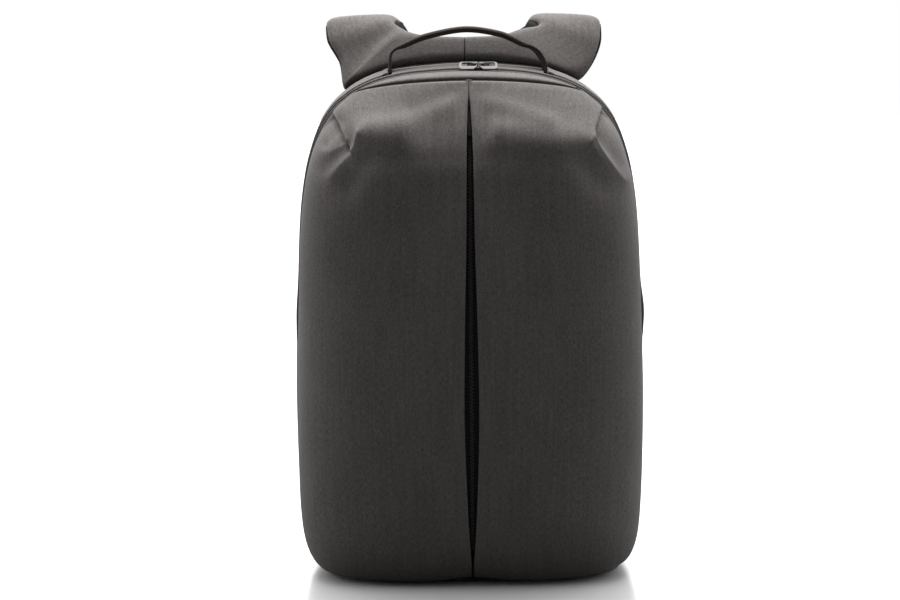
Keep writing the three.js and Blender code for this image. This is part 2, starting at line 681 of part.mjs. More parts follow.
function strapLining(side) {
  return strapLayer(side, (t, edge) => -LINING_SPLIT - LINING_THICK * edge, () => -LINING_SPLIT);
}

const LOCK_PLACE = new THREE.Matrix4().makeRotationX(LOCK_TURN).setPosition(LOCK_X, LOCK_Y, LOCK_Z);

function rectangle(path, x0, y0, x1, y1) {
  path.moveTo(x0, y0);
  path.lineTo(x1, y0);
  path.lineTo(x1, y1);
  path.lineTo(x0, y1);
  path.closePath();
  return path;
}

function ladderLock() {
  const plate = rectangle(new THREE.Shape(), -LOCK_WIDE / 2, -LOCK_TALL / 2, LOCK_WIDE / 2, LOCK_TALL / 2);
  for (const slot of LOCK_SLOTS) {
    const half = LOCK_SLOT_WIDE / 2;
    plate.holes.push(rectangle(new THREE.Path(), -half, slot.low, half, slot.high));
  }
  const geometry = new THREE.ExtrudeGeometry(plate, { depth: LOCK_THICK, bevelEnabled: false });
  geometry.translate(0, 0, -LOCK_THICK / 2);
  geometry.rotateX(Math.PI / 2);
  return asPlain(geometry.applyMatrix4(LOCK_PLACE));
}

function asPlain(geometry) {
  geometry.deleteAttribute("normal");
  geometry.deleteAttribute("uv");
  const merged = mergeVertices(geometry, 1e-4);
  merged.computeVertexNormals();
  return merged;
}

function strapWebbing() {
  const inLock = WEB_ROUND_BAR.map(({ y, z }) => new THREE.Vector3(0, y, z).applyMatrix4(LOCK_PLACE));
  const below = WEB_ANCHOR.map(({ x, y, z }) => new THREE.Vector3(x, y, z));
  const tail = WEB_TAIL.map(({ x, y, z }) => new THREE.Vector3(x, y, z));
  const path = new THREE.CatmullRomCurve3([...below, ...inLock, ...tail], false, "centripetal");
  const last = below.length + inLock.length + tail.length - 1;
  const fine = steps(below.length - 0.5, below.length + inLock.length - 0.5, WEB_STEPS / 2);
  const lower = steps(0, below.length - 1, 6);
  const upper = steps(below.length + inLock.length, last, 4);
  const rings = [...lower, ...fine, ...upper].map((k) => {
    const p = path.getPoint(k / last);
    const run = path.getTangent(k / last);
    const thin = new THREE.Vector3(0, run.z, -run.y).normalize().multiplyScalar(WEB_THICK / 2);
    const wide = new THREE.Vector3(WEB_WIDE / 2, 0, 0);
    return [
      p.clone().sub(wide).sub(thin),
      p.clone().add(wide).sub(thin),
      p.clone().add(wide).add(thin),
      p.clone().sub(wide).add(thin),
    ];
  });
  return loft(rings);
}

// The slider's plate reaches outwards from the pivot, so that two of them can meet nose to nose
function slider() {
  const plate = new THREE.BoxGeometry(SLIDER_LONG, SLIDER_WIDE, SLIDER_PLATE);
  plate.translate(SLIDER_OFFSET, 0, -SLIDER_PLATE / 2);
  const reach = TUNNEL_HALF + BAIL_WALL;
  const bail = new THREE.Shape();
  bail.moveTo(-reach, -SLIDER_PLATE / 2);
  bail.lineTo(reach, -SLIDER_PLATE / 2);
  bail.lineTo(reach, TUNNEL_HIGH);
  bail.lineTo(reach - BAIL_WALL, TUNNEL_HIGH + BAIL_WALL);
  bail.lineTo(BAIL_WALL - reach, TUNNEL_HIGH + BAIL_WALL);
  bail.lineTo(-reach, TUNNEL_HIGH);
  bail.closePath();
  bail.holes.push(rectangle(new THREE.Path(), -TUNNEL_HALF, 0, TUNNEL_HALF, TUNNEL_HIGH));
  const arch = new THREE.ExtrudeGeometry(bail, { depth: BAIL_WIDE, bevelEnabled: false });
  arch.translate(0, 0, -BAIL_WIDE / 2);
  arch.rotateX(Math.PI / 2);
  return joined(plate, asPlain(arch));
}

// The puller lies along +X from its pivot, with the thick bar of the loop in front
function puller() {
  const loop = new THREE.Shape();
  loop.moveTo(-PULLER_BAR, -PULLER_FRONT + PULLER_SLANT);
  loop.lineTo(-PULLER_BAR + PULLER_SLANT, -PULLER_FRONT);
  loop.lineTo(PULLER_LONG - PULLER_ROUND, -PULLER_FRONT);
  loop.quadraticCurveTo(PULLER_LONG, -PULLER_FRONT, PULLER_LONG, PULLER_ROUND - PULLER_FRONT);
  loop.lineTo(PULLER_LONG, PULLER_REAR - PULLER_ROUND);
  loop.quadraticCurveTo(PULLER_LONG, PULLER_REAR, PULLER_LONG - PULLER_ROUND, PULLER_REAR);
  loop.lineTo(-PULLER_BAR, PULLER_REAR);
  loop.closePath();
  const hole = new THREE.Path();
  hole.moveTo(PULLER_BAR, -HOLE_FRONT);
  hole.lineTo(HOLE_END - HOLE_ROUND, -HOLE_FRONT);
  hole.quadraticCurveTo(HOLE_END, -HOLE_FRONT, HOLE_END, HOLE_ROUND - HOLE_FRONT);
  hole.lineTo(HOLE_END, HOLE_REAR - HOLE_ROUND);
  hole.quadraticCurveTo(HOLE_END, HOLE_REAR, HOLE_END - HOLE_ROUND, HOLE_REAR);
  hole.lineTo(PULLER_BAR, HOLE_REAR);
  hole.closePath();
  loop.holes.push(hole);
  const flat = { depth: PULLER_THICK, bevelEnabled: false, curveSegments: 4 };
  const geometry = new THREE.ExtrudeGeometry(loop, flat);
  geometry.translate(0, 0, -PULLER_THICK / 2);
  return asPlain(geometry);
}

// Where a slider sits on the zip, tilted towards the front
function sliderPlace(side) {
  const x = SLIDERS_MEET_X + side * SLIDER_SPREAD;
  const q = stationAt(seamX, Math.abs(x));
  const zip = gussetPoint(q, SLIDER_SHARE, Math.sign(x));
  const place = new THREE.Group();
  place.position.set(x, zip.y, zip.z + ZIP_PROFILE[2].rise + SLIDER_LIFT);
  place.rotation.x = SLIDER_TILT;
  return place;
}

function frontZip() {
  const rows = steps(FRONT_ZIP_FROM, FRONT_ZIP_TO, 20).map((t) => {
    const inward = slitInward(t);
    const edge = new THREE.Vector3(0, slitY(t), slitZ(t));
    edge.z += SLIT_LIFT * Math.max(0, 1 - edge.z / SLIT_LIFT_TOP);
    const deep = FLANGE_DEEP + SEAM_GAP;
    const sunk = (x, far) => edge.clone().addScaledVector(inward, far).setX(x);
    const outer = FRONT_ZIP_PROFILE.map(({ x, rise }) => sunk(x, deep - rise));
    const inner = FRONT_ZIP_PROFILE.map(({ x }) => sunk(x, deep + ZIP_TAPE));
    return { outer, inner };
  });
  return wall(rows.map((row) => row.outer), rows.map((row) => row.inner));
}

function frontSlider() {
  const body = new THREE.BoxGeometry(2 * FRONT_SLIDER_HALF, FRONT_SLIDER_THICK, FRONT_SLIDER_LONG);
  const tab = new THREE.BoxGeometry(2 * FRONT_TAB_HALF, FRONT_TAB_THICK, FRONT_TAB_LONG);
  tab.translate(0, -FRONT_SLIDER_THICK / 2, -FRONT_TAB_LONG / 2);
  return joined(body, tab);
}

function frontSliderPlace() {
  const inward = slitInward(FRONT_SLIDER_AT);
  const chain = FLANGE_DEEP + SEAM_GAP - FRONT_ZIP_PROFILE[2].rise;
  const place = new THREE.Group();
  place.position.set(0, slitY(FRONT_SLIDER_AT), slitZ(FRONT_SLIDER_AT));
  place.position.addScaledVector(inward, chain - FRONT_SLIDER_GAP - FRONT_SLIDER_THICK / 2);
  place.rotation.x = -Math.atan2(-inward.z, inward.y);
  return place;
}

function named(name, geometry, finish) {
  const mesh = new THREE.Mesh(geometry, new THREE.MeshStandardMaterial(finish));
  mesh.name = name;
  return mesh;
}

const backpack = new THREE.Group();
backpack.name = "backpack";
backpack.position.y = FRAME_SHIFT;

backpack.add(named("front_panel_left", frontPanel(-1), CLOTH));
backpack.add(named("front_panel_right", frontPanel(1), CLOTH));
backpack.add(named("top_band", topBand(), CLOTH));
backpack.add(named("main_zip", mainZip(), ZIP_GREY));
backpack.add(named("side_gusset_left", sideGusset(-1), CLOTH));
backpack.add(named("side_gusset_right", sideGusset(1), CLOTH));
backpack.add(named("top_gusset", topGusset(), CLOTH));
backpack.add(named("back_panel", backPanel(), MESH_CLOTH));
backpack.add(named("base_panel", basePanel(), DARK_CLOTH));
backpack.add(named("carry_handle", carryHandle(), WEBBING));
backpack.add(named("strap_right", strapPad(1), CLOTH));
backpack.add(named("strap_left", strapPad(-1), CLOTH));
backpack.add(named("strap_lining_right", strapLining(1), MESH_CLOTH));
backpack.add(named("strap_lining_left", strapLining(-1), MESH_CLOTH));
backpack.add(named("ladder_lock_right", ladderLock(), PLASTIC));
backpack.add(named("ladder_lock_left", mirrored(ladderLock()), PLASTIC));
backpack.add(named("strap_webbing_right", strapWebbing(), WEBBING));
backpack.add(named("strap_webbing_left", mirrored(strapWebbing()), WEBBING));
backpack.add(named("front_zip", frontZip(), ZIP_BLACK));

const frontSliderSpot = frontSliderPlace();
frontSliderSpot.add(named("front_zip_slider", frontSlider(), ZIP_BLACK));
backpack.add(frontSliderSpot);

const rightSpot = sliderPlace(1);
const rightPuller = named("zip_puller_right", puller(), STEEL);
rightPuller.position.z = PIVOT_HIGH;
rightSpot.add(named("zip_slider_right", slider(), STEEL), rightPuller);
backpack.add(rightSpot);

const leftSpot = sliderPlace(-1);
const leftPuller = named("zip_puller_left", mirrored(puller()), STEEL);
leftPuller.position.z = PIVOT_HIGH;
leftSpot.add(named("zip_slider_left", mirrored(slider()), STEEL), leftPuller);
backpack.add(leftSpot);

export default backpack;
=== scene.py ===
"""A soft commuter backpack: cloth panels, zips, handle, padded straps and the studio they stand in."""
import logging
import math
from contextlib import contextmanager
from dataclasses import dataclass, field
from enum import Enum
from typing import Callable, Iterator, Sequence

import bpy
import numpy as np
from bpy.types import Light, Material, Node, NodeSocket, NodeTree, Object
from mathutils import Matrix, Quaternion, Vector


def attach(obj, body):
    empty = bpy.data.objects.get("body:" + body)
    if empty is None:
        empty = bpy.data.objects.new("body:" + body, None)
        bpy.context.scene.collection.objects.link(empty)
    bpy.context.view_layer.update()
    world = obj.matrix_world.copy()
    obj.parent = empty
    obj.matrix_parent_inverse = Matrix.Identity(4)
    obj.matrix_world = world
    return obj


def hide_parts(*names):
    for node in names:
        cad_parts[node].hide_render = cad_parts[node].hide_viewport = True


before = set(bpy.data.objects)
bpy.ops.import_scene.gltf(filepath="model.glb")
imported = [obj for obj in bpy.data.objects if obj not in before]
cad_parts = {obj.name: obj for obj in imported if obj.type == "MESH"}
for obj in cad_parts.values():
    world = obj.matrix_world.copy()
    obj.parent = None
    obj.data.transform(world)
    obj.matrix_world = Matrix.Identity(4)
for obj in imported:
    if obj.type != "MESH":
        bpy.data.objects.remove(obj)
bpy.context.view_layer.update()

LOG = logging.getLogger("backpack")
MM = 0.001
FRAME_OFFSET = np.array((0.0, -34.3, 0.0))
GRID_MERGE = 2e-6
SOLID_MERGE = 1e-6
DEGENERATE = 1e-7
FLAT_DEGREES = 1.0
RIB_DEGREES = 50.0
NO_LENGTH = 1e-9
WHITE = (1, 1, 1, 1)
MIX_SHARE, MIX_FIRST, MIX_SECOND, MIX_RESULT = 0, 6, 7, 2

Array = np.ndarray
Run = Callable[[Array], Array]
Colour = tuple[float, float, float]


class Side(Enum):
    """The two halves of the bag, as seen from its front."""

    LEFT = -1
    RIGHT = 1

    @property
    def word(self) -> str:
        """The side's name in the names of pieces."""
        return self.name.lower()


class Rides(Enum):
    """The bodies that pieces move with."""

    BAG = "bag"
    LEFT_PULLER = "puller_left"
    RIGHT_PULLER = "puller_right"


class FoldKind(Enum):
    """How a fold shapes the cloth across its line."""

    HOLLOW = "a soft round valley, or a soft ridge where its depth is negative"
    CREASE = "a sharp crest or a sharp valley"
    TUCK = "a sewn line with the cloth pressed in on one side of it"


# Short tables and smooth runs


@dataclass(frozen=True)
class Table:
    """Rows of named sizes that are read as smooth runs, with the row number as their parameter."""

    names: tuple[str, ...]
    rows: tuple[tuple[float, ...], ...]

    @property
    def last(self) -> int:
        """Number of the last row."""
        return len(self.rows) - 1

    def run(self, name: str, level_end: bool = False) -> Run:
        """Makes a smooth run through one column.

        Args:
            name: The column.
            level_end: Whether the run ends level.

        Returns:
            A function of the row number.
        """
        values = np.array([row[self.names.index(name)] for row in self.rows], float)
        steps = np.diff(values)
        before, after = steps[:-1], steps[1:]
        same_way = before * after > 0
        slopes = np.zeros_like(values)
        slopes[1:-1] = np.where(same_way, 2 * before * after / np.where(same_way, before + after, 1.0), 0.0)
        slopes[0] = steps[0]
        slopes[-1] = 0.0 if level_end else steps[-1]

        def read(t: Array) -> Array:
            """The column's value at a row number."""
            t = np.asarray(t, float)
            i = np.clip(np.floor(t).astype(int), 0, len(values) - 2)
            s = t - i
            ends = values[i] * (2 * s**3 - 3 * s**2 + 1) + values[i + 1] * (3 * s**2 - 2 * s**3)
            return ends + slopes[i] * (s**3 - 2 * s**2 + s) + slopes[i + 1] * (s**3 - s**2)

        return read


def smooth(low: float, high: float, x: Array) -> Array:
    """A soft step from 0 at low to 1 at high."""
    s = np.clip((np.asarray(x, float) - low) / (high - low), 0, 1)
    return s * s * (3 - 2 * s)


def bell(off: Array, reach: float) -> Array:
    """A soft bump: 1 where off is 0, and next to nothing from twice the reach on."""
    return np.exp(-((off / reach) ** 2))


def part_way(start: Array, end: Array, share: Array) -> Array:
    """The values at a share of the way from start to end."""
    return start + (end - start) * share


def run_length(points: Array, axis: int) -> Array:
    """Length along one axis of a grid of points.

    Args:
        points: Grid of points, its last axis x, y and z.
        axis: The grid axis to walk along.

    Returns:
        The length from the start of each line, of the grid's own shape.
    """
    steps = np.linalg.norm(np.diff(points, axis=axis), axis=-1)
    total = np.cumsum(steps, axis=axis)
    pad = [(0, 0)] * total.ndim
    pad[axis] = (1, 0)
    return np.pad(total, pad)


def evenly(parameter: Array, length: Array, count: int) -> Array:
    """Values of a parameter at even steps of a length.

    Args:
        parameter: The parameter at fine steps.
        length: The length, or weighted length, at the same steps.
        count: How many values are wanted.

    Returns:
        The values, first and last included.
    """
    return np.interp(np.linspace(0, length[-1], count), length, parameter)


def unit(ways: Array) -> Array:
    """The same directions, of length one."""
    return ways / np.linalg.norm(ways, axis=-1, keepdims=True)


# Meshes


def deselect() -> None:
    """Leaves edit mode and deselects every object."""
    if bpy.context.object and bpy.context.object.mode != "OBJECT":
        bpy.ops.object.mode_set(mode="OBJECT")
    bpy.ops.object.select_all(action="DESELECT")


def pick(obj: Object) -> None:
    """Makes one object the only one selected, and the active one."""
    deselect()
    obj.select_set(True)
    bpy.context.view_layer.objects.active = obj


@contextmanager
def editing(obj: Object) -> Iterator[None]:
    """Edit mode on one object, with its whole mesh selected, until the block ends."""
    pick(obj)
    bpy.ops.object.mode_set(mode="EDIT")
    bpy.ops.mesh.select_all(action="SELECT")
    yield
    bpy.ops.object.mode_set(mode="OBJECT")


def finish_modifier(obj: Object, kind: str, **settings: object) -> None:
    """Adds a modifier and applies it.

    Args:
        obj: The piece.
        kind: The modifier's type.
        **settings: Its values.
    """
    modifier = obj.modifiers.new(kind.lower(), kind)
    for name, value in settings.items():
        setattr(modifier, name, value)
    pick(obj)
    bpy.ops.object.modifier_apply(modifier=modifier.name)


def signed_volume(obj: Object) -> float:
    """Six times the volume that the faces enclose, below zero where they face inwards."""
    mesh = obj.data
    mesh.calc_loop_triangles()
    co = np.array([v.co for v in mesh.vertices], float)
    tri = np.array([t.vertices for t in mesh.loop_triangles], int)
    a, b, c = (co[tri[:, i]] for i in range(3))
    return float(np.einsum("ij,ij->", a, np.cross(b, c)))


def flip(obj: Object) -> None:
    """Turns the faces of a piece round."""
    with editing(obj):
        bpy.ops.mesh.flip_normals()


def face_outwards(obj: Object, closed: bool) -> None:
    """Merges doubles and turns the faces outwards.

    Args:
        obj: The piece.
        closed: Whether the mesh closes on itself; otherwise it is a sheet round the bag's core.
    """
    with editing(obj):
        bpy.ops.mesh.remove_doubles(threshold=GRID_MERGE)
        bpy.ops.mesh.dissolve_degenerate(threshold=DEGENERATE)
        bpy.ops.mesh.select_all(action="SELECT")
        bpy.ops.mesh.normals_make_consistent(inside=False)
    if closed:
        inside_out = signed_volume(obj) < 0
    else:
        faces = obj.data.polygons
        centres = np.array([p.center for p in faces], float) / MM - FRAME_OFFSET
        normals = np.array([p.normal for p in faces], float)
        inside_out = float(np.sum(normals * toward_core(centres))) > 0
    if inside_out:
        flip(obj)


def grid_piece(name: str, points: Array, uv: Array, closed: bool = False) -> Object:
    """Shapes a flat grid into a piece of cloth or padding.

    Args:
        name: The piece's name.
        points: Rows and columns of points, in millimetres before the shift into the frame.
        uv: Place of each point on the flat cloth, in metres.
        closed: Whether the grid closes on itself when its doubles are merged.

    Returns:
        The piece.
    """
    rows, columns = points.shape[:2]
    deselect()
    bpy.ops.mesh.primitive_grid_add(x_subdivisions=columns - 1, y_subdivisions=rows - 1, size=2,
                                    calc_uvs=True)
    obj = bpy.context.object
    obj.name = obj.data.name = name
    mesh = obj.data
    flat = np.zeros(len(mesh.vertices) * 3)
    mesh.vertices.foreach_get("co", flat)
    flat = flat.reshape(-1, 3)
    column, row = (np.rint((flat[:, k] + 1) / 2 * (count - 1)).astype(int)
                   for k, count in enumerate((columns, rows)))
    placed = (points[row, column] + FRAME_OFFSET) * MM
    mesh.vertices.foreach_set("co", placed.astype(np.float32).ravel())
    corners = np.zeros(len(mesh.loops), int)
    mesh.loops.foreach_get("vertex_index", corners)
    mesh.uv_layers.active.data.foreach_set("uv", uv[row, column][corners].astype(np.float32).ravel())
    mesh.update()
    face_outwards(obj, closed)
    pick(obj)
    bpy.ops.object.shade_smooth()
    return obj


def cloth_uv(points: Array) -> Array:
    """Place of each point of a grid on the flat cloth, by length along its rows and columns, in metres."""
    return np.stack((run_length(points, 1), run_length(points, 0)), axis=-1) * MM


def flat_size(points: Array) -> tuple[float, float]:
    """Greatest length of a grid's rows, and of its columns, in metres."""
    across, along = (float(run_length(points, axis).max()) * MM for axis in (1, 0))
    return across, along


def rounded_copy(node: str, name: str, round_mm: float, segments: int, sharp: float, soft: float) -> Object:
    """A merged copy of a solid, with quads where its triangles lie flat and with rounded edges.

    Args:
        node: The solid.
        name: The copy's name.
        round_mm: Radius of its edges.
        segments: Faces across each rounded edge.
        sharp: Angle in degrees from which an edge is rounded.
        soft: Angle in degrees up to which the shading is smooth.

    Returns:
        The copy.
    """
    obj = bpy.data.objects.new(name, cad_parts[node].data.copy())
    obj.data.name = name
    obj.data.materials.clear()
    bpy.context.scene.collection.objects.link(obj)
    with editing(obj):
        bpy.ops.mesh.remove_doubles(threshold=SOLID_MERGE)
        bpy.ops.mesh.dissolve_limited(angle_limit=math.radians(FLAT_DEGREES))
    finish_modifier(obj, "BEVEL", width=round_mm * MM, segments=segments, limit_method="ANGLE",
                    angle_limit=math.radians(sharp))
    bpy.ops.object.shade_smooth_by_angle(angle=math.radians(soft))
    return obj


def repeated(name: str, unit_shape: Object, places: Array) -> Object:
    """Copies a small shape to many places as one piece.

    Args:
        name: The piece's name.
        unit_shape: The shape, modelled once round the origin, in metres; it is removed.
        places: One 4 by 3 array for each copy: its place in millimetres, then its x, y and z directions.

    Returns:
        The piece.
    """
    co = np.array([v.co for v in unit_shape.data.vertices], float)
    faces = [tuple(p.vertices) for p in unit_shape.data.polygons]
    origin = (places[:, 0] + FRAME_OFFSET) * MM
    turned = np.einsum("vk,nkj->nvj", co, places[:, 1:]) + origin[:, None, :]
    every = [tuple(i + n * len(co) for i in face) for n in range(len(places)) for face in faces]
    mesh = bpy.data.meshes.new(name)
    mesh.from_pydata(turned.reshape(-1, 3).tolist(), [], every)
    obj = bpy.data.objects.new(name, mesh)
    bpy.context.scene.collection.objects.link(obj)
    bpy.data.objects.remove(unit_shape)
    if signed_volume(obj) < 0:
        flip(obj)
    pick(obj)
    bpy.ops.object.shade_smooth_by_angle(angle=math.radians(RIB_DEGREES))
    return obj


def rounded_block(size: tuple[float, float, float], round_mm: float) -> Object:
    """A small block with rounded edges, round the origin.

    Args:
        size: Its length, width and height in millimetres.
        round_mm: Radius of its edges.

    Returns:
        The block.
    """
    deselect()
    bpy.ops.mesh.primitive_cube_add(size=1)
    obj = bpy.context.object
    with editing(obj):
        bpy.ops.transform.resize(value=tuple(s * MM for s in size))
        bpy.ops.mesh.bevel(offset=round_mm * MM, segments=1, affect="EDGES")
    return obj


def hand_over(obj: Object, finish: Material, slot: str, nodes: Sequence[str],
              rides: Rides = Rides.BAG) -> None:
    """Dresses a finished piece, hangs it on the body that it moves with and hides the solids that it
    replaces.

    Args:
        obj: The piece.
        finish: Its material.
        slot: Name of its material slot, which is only logged.
        nodes: The solids that it replaces.
        rides: The body that it moves with.
    """
    obj.data.materials.clear()
    obj.data.materials.append(finish)
    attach(obj, rides.value)
    if nodes:
        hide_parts(*nodes)
    LOG.info("%s: %d faces, %s", obj.name, len(obj.data.polygons), slot)


def cloth_piece(name: str, points: Array, wall: float, finish: Material, slot: str, node: str) -> Object:
    """Makes a sheet of cloth or tape: shapes it, thickens it inwards, dresses it and hands it over.

    Args:
        name: The piece's name.
        points: Rows and columns of points, in millimetres.
        wall: Its thickness.
        finish: Its material.
        slot: Name of its material slot, which is only logged.
        node: The solid that it replaces.

    Returns:
        The piece.
    """
    obj = grid_piece(name, points, cloth_uv(points))
    finish_modifier(obj, "SOLIDIFY", thickness=wall * MM, offset=-1.0)
    hand_over(obj, finish, slot, [node])
    return obj


# Finishes


@dataclass
class Sketch:
    """Adds and links shader nodes in one tree."""

    tree: NodeTree

    def lead(self, node: Node, inputs: dict[str | int, object]) -> None:
        """Sets inputs of a node, by name or number, to values or leads sockets into them."""
        for name, value in inputs.items():
            if isinstance(value, NodeSocket):
                self.tree.links.new(value, node.inputs[name])
            else:
                node.inputs[name].default_value = value

    def node(self, kind: str, inputs: dict[str | int, object] | None = None, **settings: object) -> Node:
        """Adds a node.

        Args:
            kind: Its type.
            inputs: Values or sockets for its inputs, by name or number.
            **settings: Its own properties.

        Returns:
            The node.
        """
        node = self.tree.nodes.new(kind)
        for name, value in settings.items():
            setattr(node, name, value)
        self.lead(node, inputs or {})
        return node

    def math(self, operation: str, a: object, b: object = 0.0, clamp: bool = False) -> NodeSocket:
        """Adds a sum, product or other operation and gives its result."""
        return self.node("ShaderNodeMath", {0: a, 1: b}, operation=operation, use_clamp=clamp).outputs[0]

    def spread(self, value: object, low: float, high: float, to_low: float, to_high: float) -> NodeSocket:
        """Maps a range of values softly to another."""
        wanted = {"Value": value, "From Min": low, "From Max": high, "To Min": to_low, "To Max": to_high}
        return self.node("ShaderNodeMapRange", wanted, interpolation_type="SMOOTHSTEP").outputs[0]

    def noise(self, u: object, v: object, grain: tuple[float, float], detail: float = 2.0) -> NodeSocket:
        """Noise with its own grain along each of two thread directions."""
        steps = {k: self.math("MULTIPLY", way, grain[k]) for k, way in enumerate((u, v))}
        place = self.node("ShaderNodeCombineXYZ", steps).outputs[0]
        return self.node("ShaderNodeTexNoise", {"Vector": place, "Scale": 1.0, "Detail": detail}).outputs[0]

    def blend(self, share: object, first: object, second: object) -> NodeSocket:
        """Blends two colours, all of the second where the share is 1."""
        wanted = {MIX_SHARE: share, MIX_FIRST: first, MIX_SECOND: second}
        return self.node("ShaderNodeMix", wanted, data_type="RGBA").outputs[MIX_RESULT]


def new_group(name: str, inputs: dict[str, str], outputs: dict[str, str]) -> tuple[Sketch, Node, Node]:
    """Starts a node group with named sockets.

    Args:
        name: The group's name.
        inputs: Kind of each input: Vector, Color or Float.
        outputs: Kind of each output.

    Returns:
        The sketch for its tree, its input node and its output node.
    """
    tree = bpy.data.node_groups.new(name, "ShaderNodeTree")
    for direction, sockets in (("INPUT", inputs), ("OUTPUT", outputs)):
        for label, kind in sockets.items():
            tree.interface.new_socket(label, in_out=direction, socket_type=f"NodeSocket{kind}")
    sketch = Sketch(tree)
    return sketch, sketch.node("NodeGroupInput"), sketch.node("NodeGroupOutput")


@dataclass(frozen=True)
class MelangeWeave:
    """Plain weave of mixed light and dark yarns, with slubs along the warp; grains are for each metre."""

    warp_grain: tuple[float, float] = (1500, 260)
    weft_grain: tuple[float, float] = (240, 1300)
    slub_grain: tuple[float, float] = (420, 16)
    patch_grain: tuple[float, float] = (26, 18)
    coarse_detail: float = 3.0
    middle: float = 0.5
    warp_share: float = 1.15
    base_shade: float = -0.075
    weft_share: float = 0.75
    patch_share: float = 0.3
    weave_share: float = 0.12
    weave_height: float = 0.35

    def group(self) -> NodeTree:
        """Builds the group, with colour and height."""
        sketch, given, out = new_group(
            "melange_weave",
            {"Vector": "Vector", "Dark": "Color", "Light": "Color", "Threads": "Float", "Slub": "Float"},
            {"Color": "Color", "Height": "Float"},
        )
        u, v, _ = sketch.node("ShaderNodeSeparateXYZ", {0: given.outputs["Vector"]}).outputs
        turn = sketch.math("MULTIPLY", given.outputs["Threads"], math.pi)
        over, under = (sketch.math("SINE", sketch.math("MULTIPLY", way, turn)) for way in (u, v))
        weave = sketch.math("MULTIPLY", over, under)
        warp, weft = sketch.noise(u, v, self.warp_grain), sketch.noise(u, v, self.weft_grain)
        slub = sketch.noise(u, v, self.slub_grain, self.coarse_detail)
        patch = sketch.noise(u, v, self.patch_grain, self.coarse_detail)
        mix = sketch.math("MULTIPLY_ADD", warp, self.warp_share)
        mix.node.inputs[2].default_value = self.base_shade
        parts = ((weft, self.weft_share), (patch, self.patch_share), (slub, given.outputs["Slub"]))
        for part, weight in parts:
            centred = sketch.math("SUBTRACT", part, self.middle)
            mix = sketch.math("ADD", mix, sketch.math("MULTIPLY", centred, weight))
        mix = sketch.math("ADD", mix, sketch.math("MULTIPLY", weave, self.weave_share), clamp=True)
        colour = sketch.blend(mix, given.outputs["Dark"], given.outputs["Light"])
        raised = sketch.math("MULTIPLY", weave, self.weave_height)
        height = sketch.math("ADD", raised, sketch.math("ADD", warp, weft))
        sketch.lead(out, {"Color": colour, "Height": height})
        return sketch.tree


@dataclass(frozen=True)
class SpacerMesh:
    """Open knit of spacer mesh: rows of small holes, each row set off by half a step."""

    row_step: float = 0.6
    hole_edge: tuple[float, float] = (0.25, 0.6)
    yarn_grain: tuple[float, float] = (2600, 2600)
    yarn_height: float = 0.35

    def group(self) -> NodeTree:
        """Builds the group, with a mask of the holes and a height."""
        sketch, given, out = new_group("spacer_mesh", {"Vector": "Vector", "Holes": "Float"},
                                       {"Hole": "Float", "Height": "Float"})
        u, v, _ = sketch.node("ShaderNodeSeparateXYZ", {0: given.outputs["Vector"]}).outputs
        turn = sketch.math("MULTIPLY", given.outputs["Holes"], 2 * math.pi)
        ways = (u, sketch.math("MULTIPLY", v, self.row_step))
        across, along = (sketch.math("COSINE", sketch.math("MULTIPLY", way, turn)) for way in ways)
        hole = sketch.spread(sketch.math("MULTIPLY", across, along), *self.hole_edge, 0.0, 1.0)
        yarn = sketch.noise(u, v, self.yarn_grain)
        height = sketch.math("SUBTRACT", sketch.math("MULTIPLY", yarn, self.yarn_height), hole)
        sketch.lead(out, {"Hole": hole, "Height": height})
        return sketch.tree


@dataclass(frozen=True)
class WebbingRibs:
    """Ribs of woven webbing: fine cords along it, crossed by the weft."""

    slant: float = 0.9
    cord_height: float = 0.3
    weft_height: float = 0.45
    height_share: float = 0.35
    fuzz_grain: tuple[float, float] = (900, 900)

    def group(self) -> NodeTree:
        """Builds the group, with a height and a shade: random fuzz in tone plus painted shade, darker in the
        grooves between the cords.
        """
        sketch, given, out = new_group("webbing_ribs", {"Vector": "Vector", "Ribs": "Float"},
                                       {"Shade": "Float", "Height": "Float"})
        u, v, _ = sketch.node("ShaderNodeSeparateXYZ", {0: given.outputs["Vector"]}).outputs
        turn = sketch.math("MULTIPLY", given.outputs["Ribs"], 2 * math.pi)
        across = sketch.math("SINE", sketch.math("MULTIPLY", u, turn))
        along = sketch.math("MULTIPLY", v, turn)
        slanted = sketch.math("ADD", along, sketch.math("MULTIPLY", across, self.slant))
        weft = sketch.math("MULTIPLY", sketch.math("SINE", slanted), self.weft_height)
        height = sketch.math("ADD", sketch.math("MULTIPLY", across, self.cord_height), weft)
        fuzz = sketch.noise(u, v, self.fuzz_grain)
        # The shade is random fuzz in tone plus painted shade from the ribs' height: lighter on the cords,
        # darker in the grooves.
        shade = sketch.math("ADD", sketch.math("MULTIPLY", height, self.height_share), fuzz, clamp=True)
        sketch.lead(out, {"Shade": shade, "Height": height})
        return sketch.tree


def new_material(name: str) -> tuple[Material, Sketch, Node]:
    """Starts a material.

    Args:
        name: Its name.

    Returns:
        The material, the sketch for its tree and its surface shader.
    """
    material = bpy.data.materials.new(name)
    material.use_nodes = True
    return material, Sketch(material.node_tree), material.node_tree.nodes["Principled BSDF"]


def place_group(sketch: Sketch, tree: NodeTree, vector: str, **values: object) -> Node:
    """Places a node group in a material.

    Args:
        sketch: The material's sketch.
        tree: The group.
        vector: The coordinates that it reads, UV or Object.
        **values: Its other inputs.

    Returns:
        The group's node.
    """
    where = sketch.node("ShaderNodeTexCoord").outputs[vector]
    return sketch.node("ShaderNodeGroup", {"Vector": where, **values}, node_tree=tree)


def bump_into(sketch: Sketch, shader: Node, height: NodeSocket, strength: float, deep_mm: float) -> None:
    """Leads a height into a shader's normal."""
    bump = sketch.node("ShaderNodeBump", {"Height": height, "Strength": strength, "Distance": deep_mm * MM})
    sketch.lead(shader, {"Normal": bump.outputs[0]})


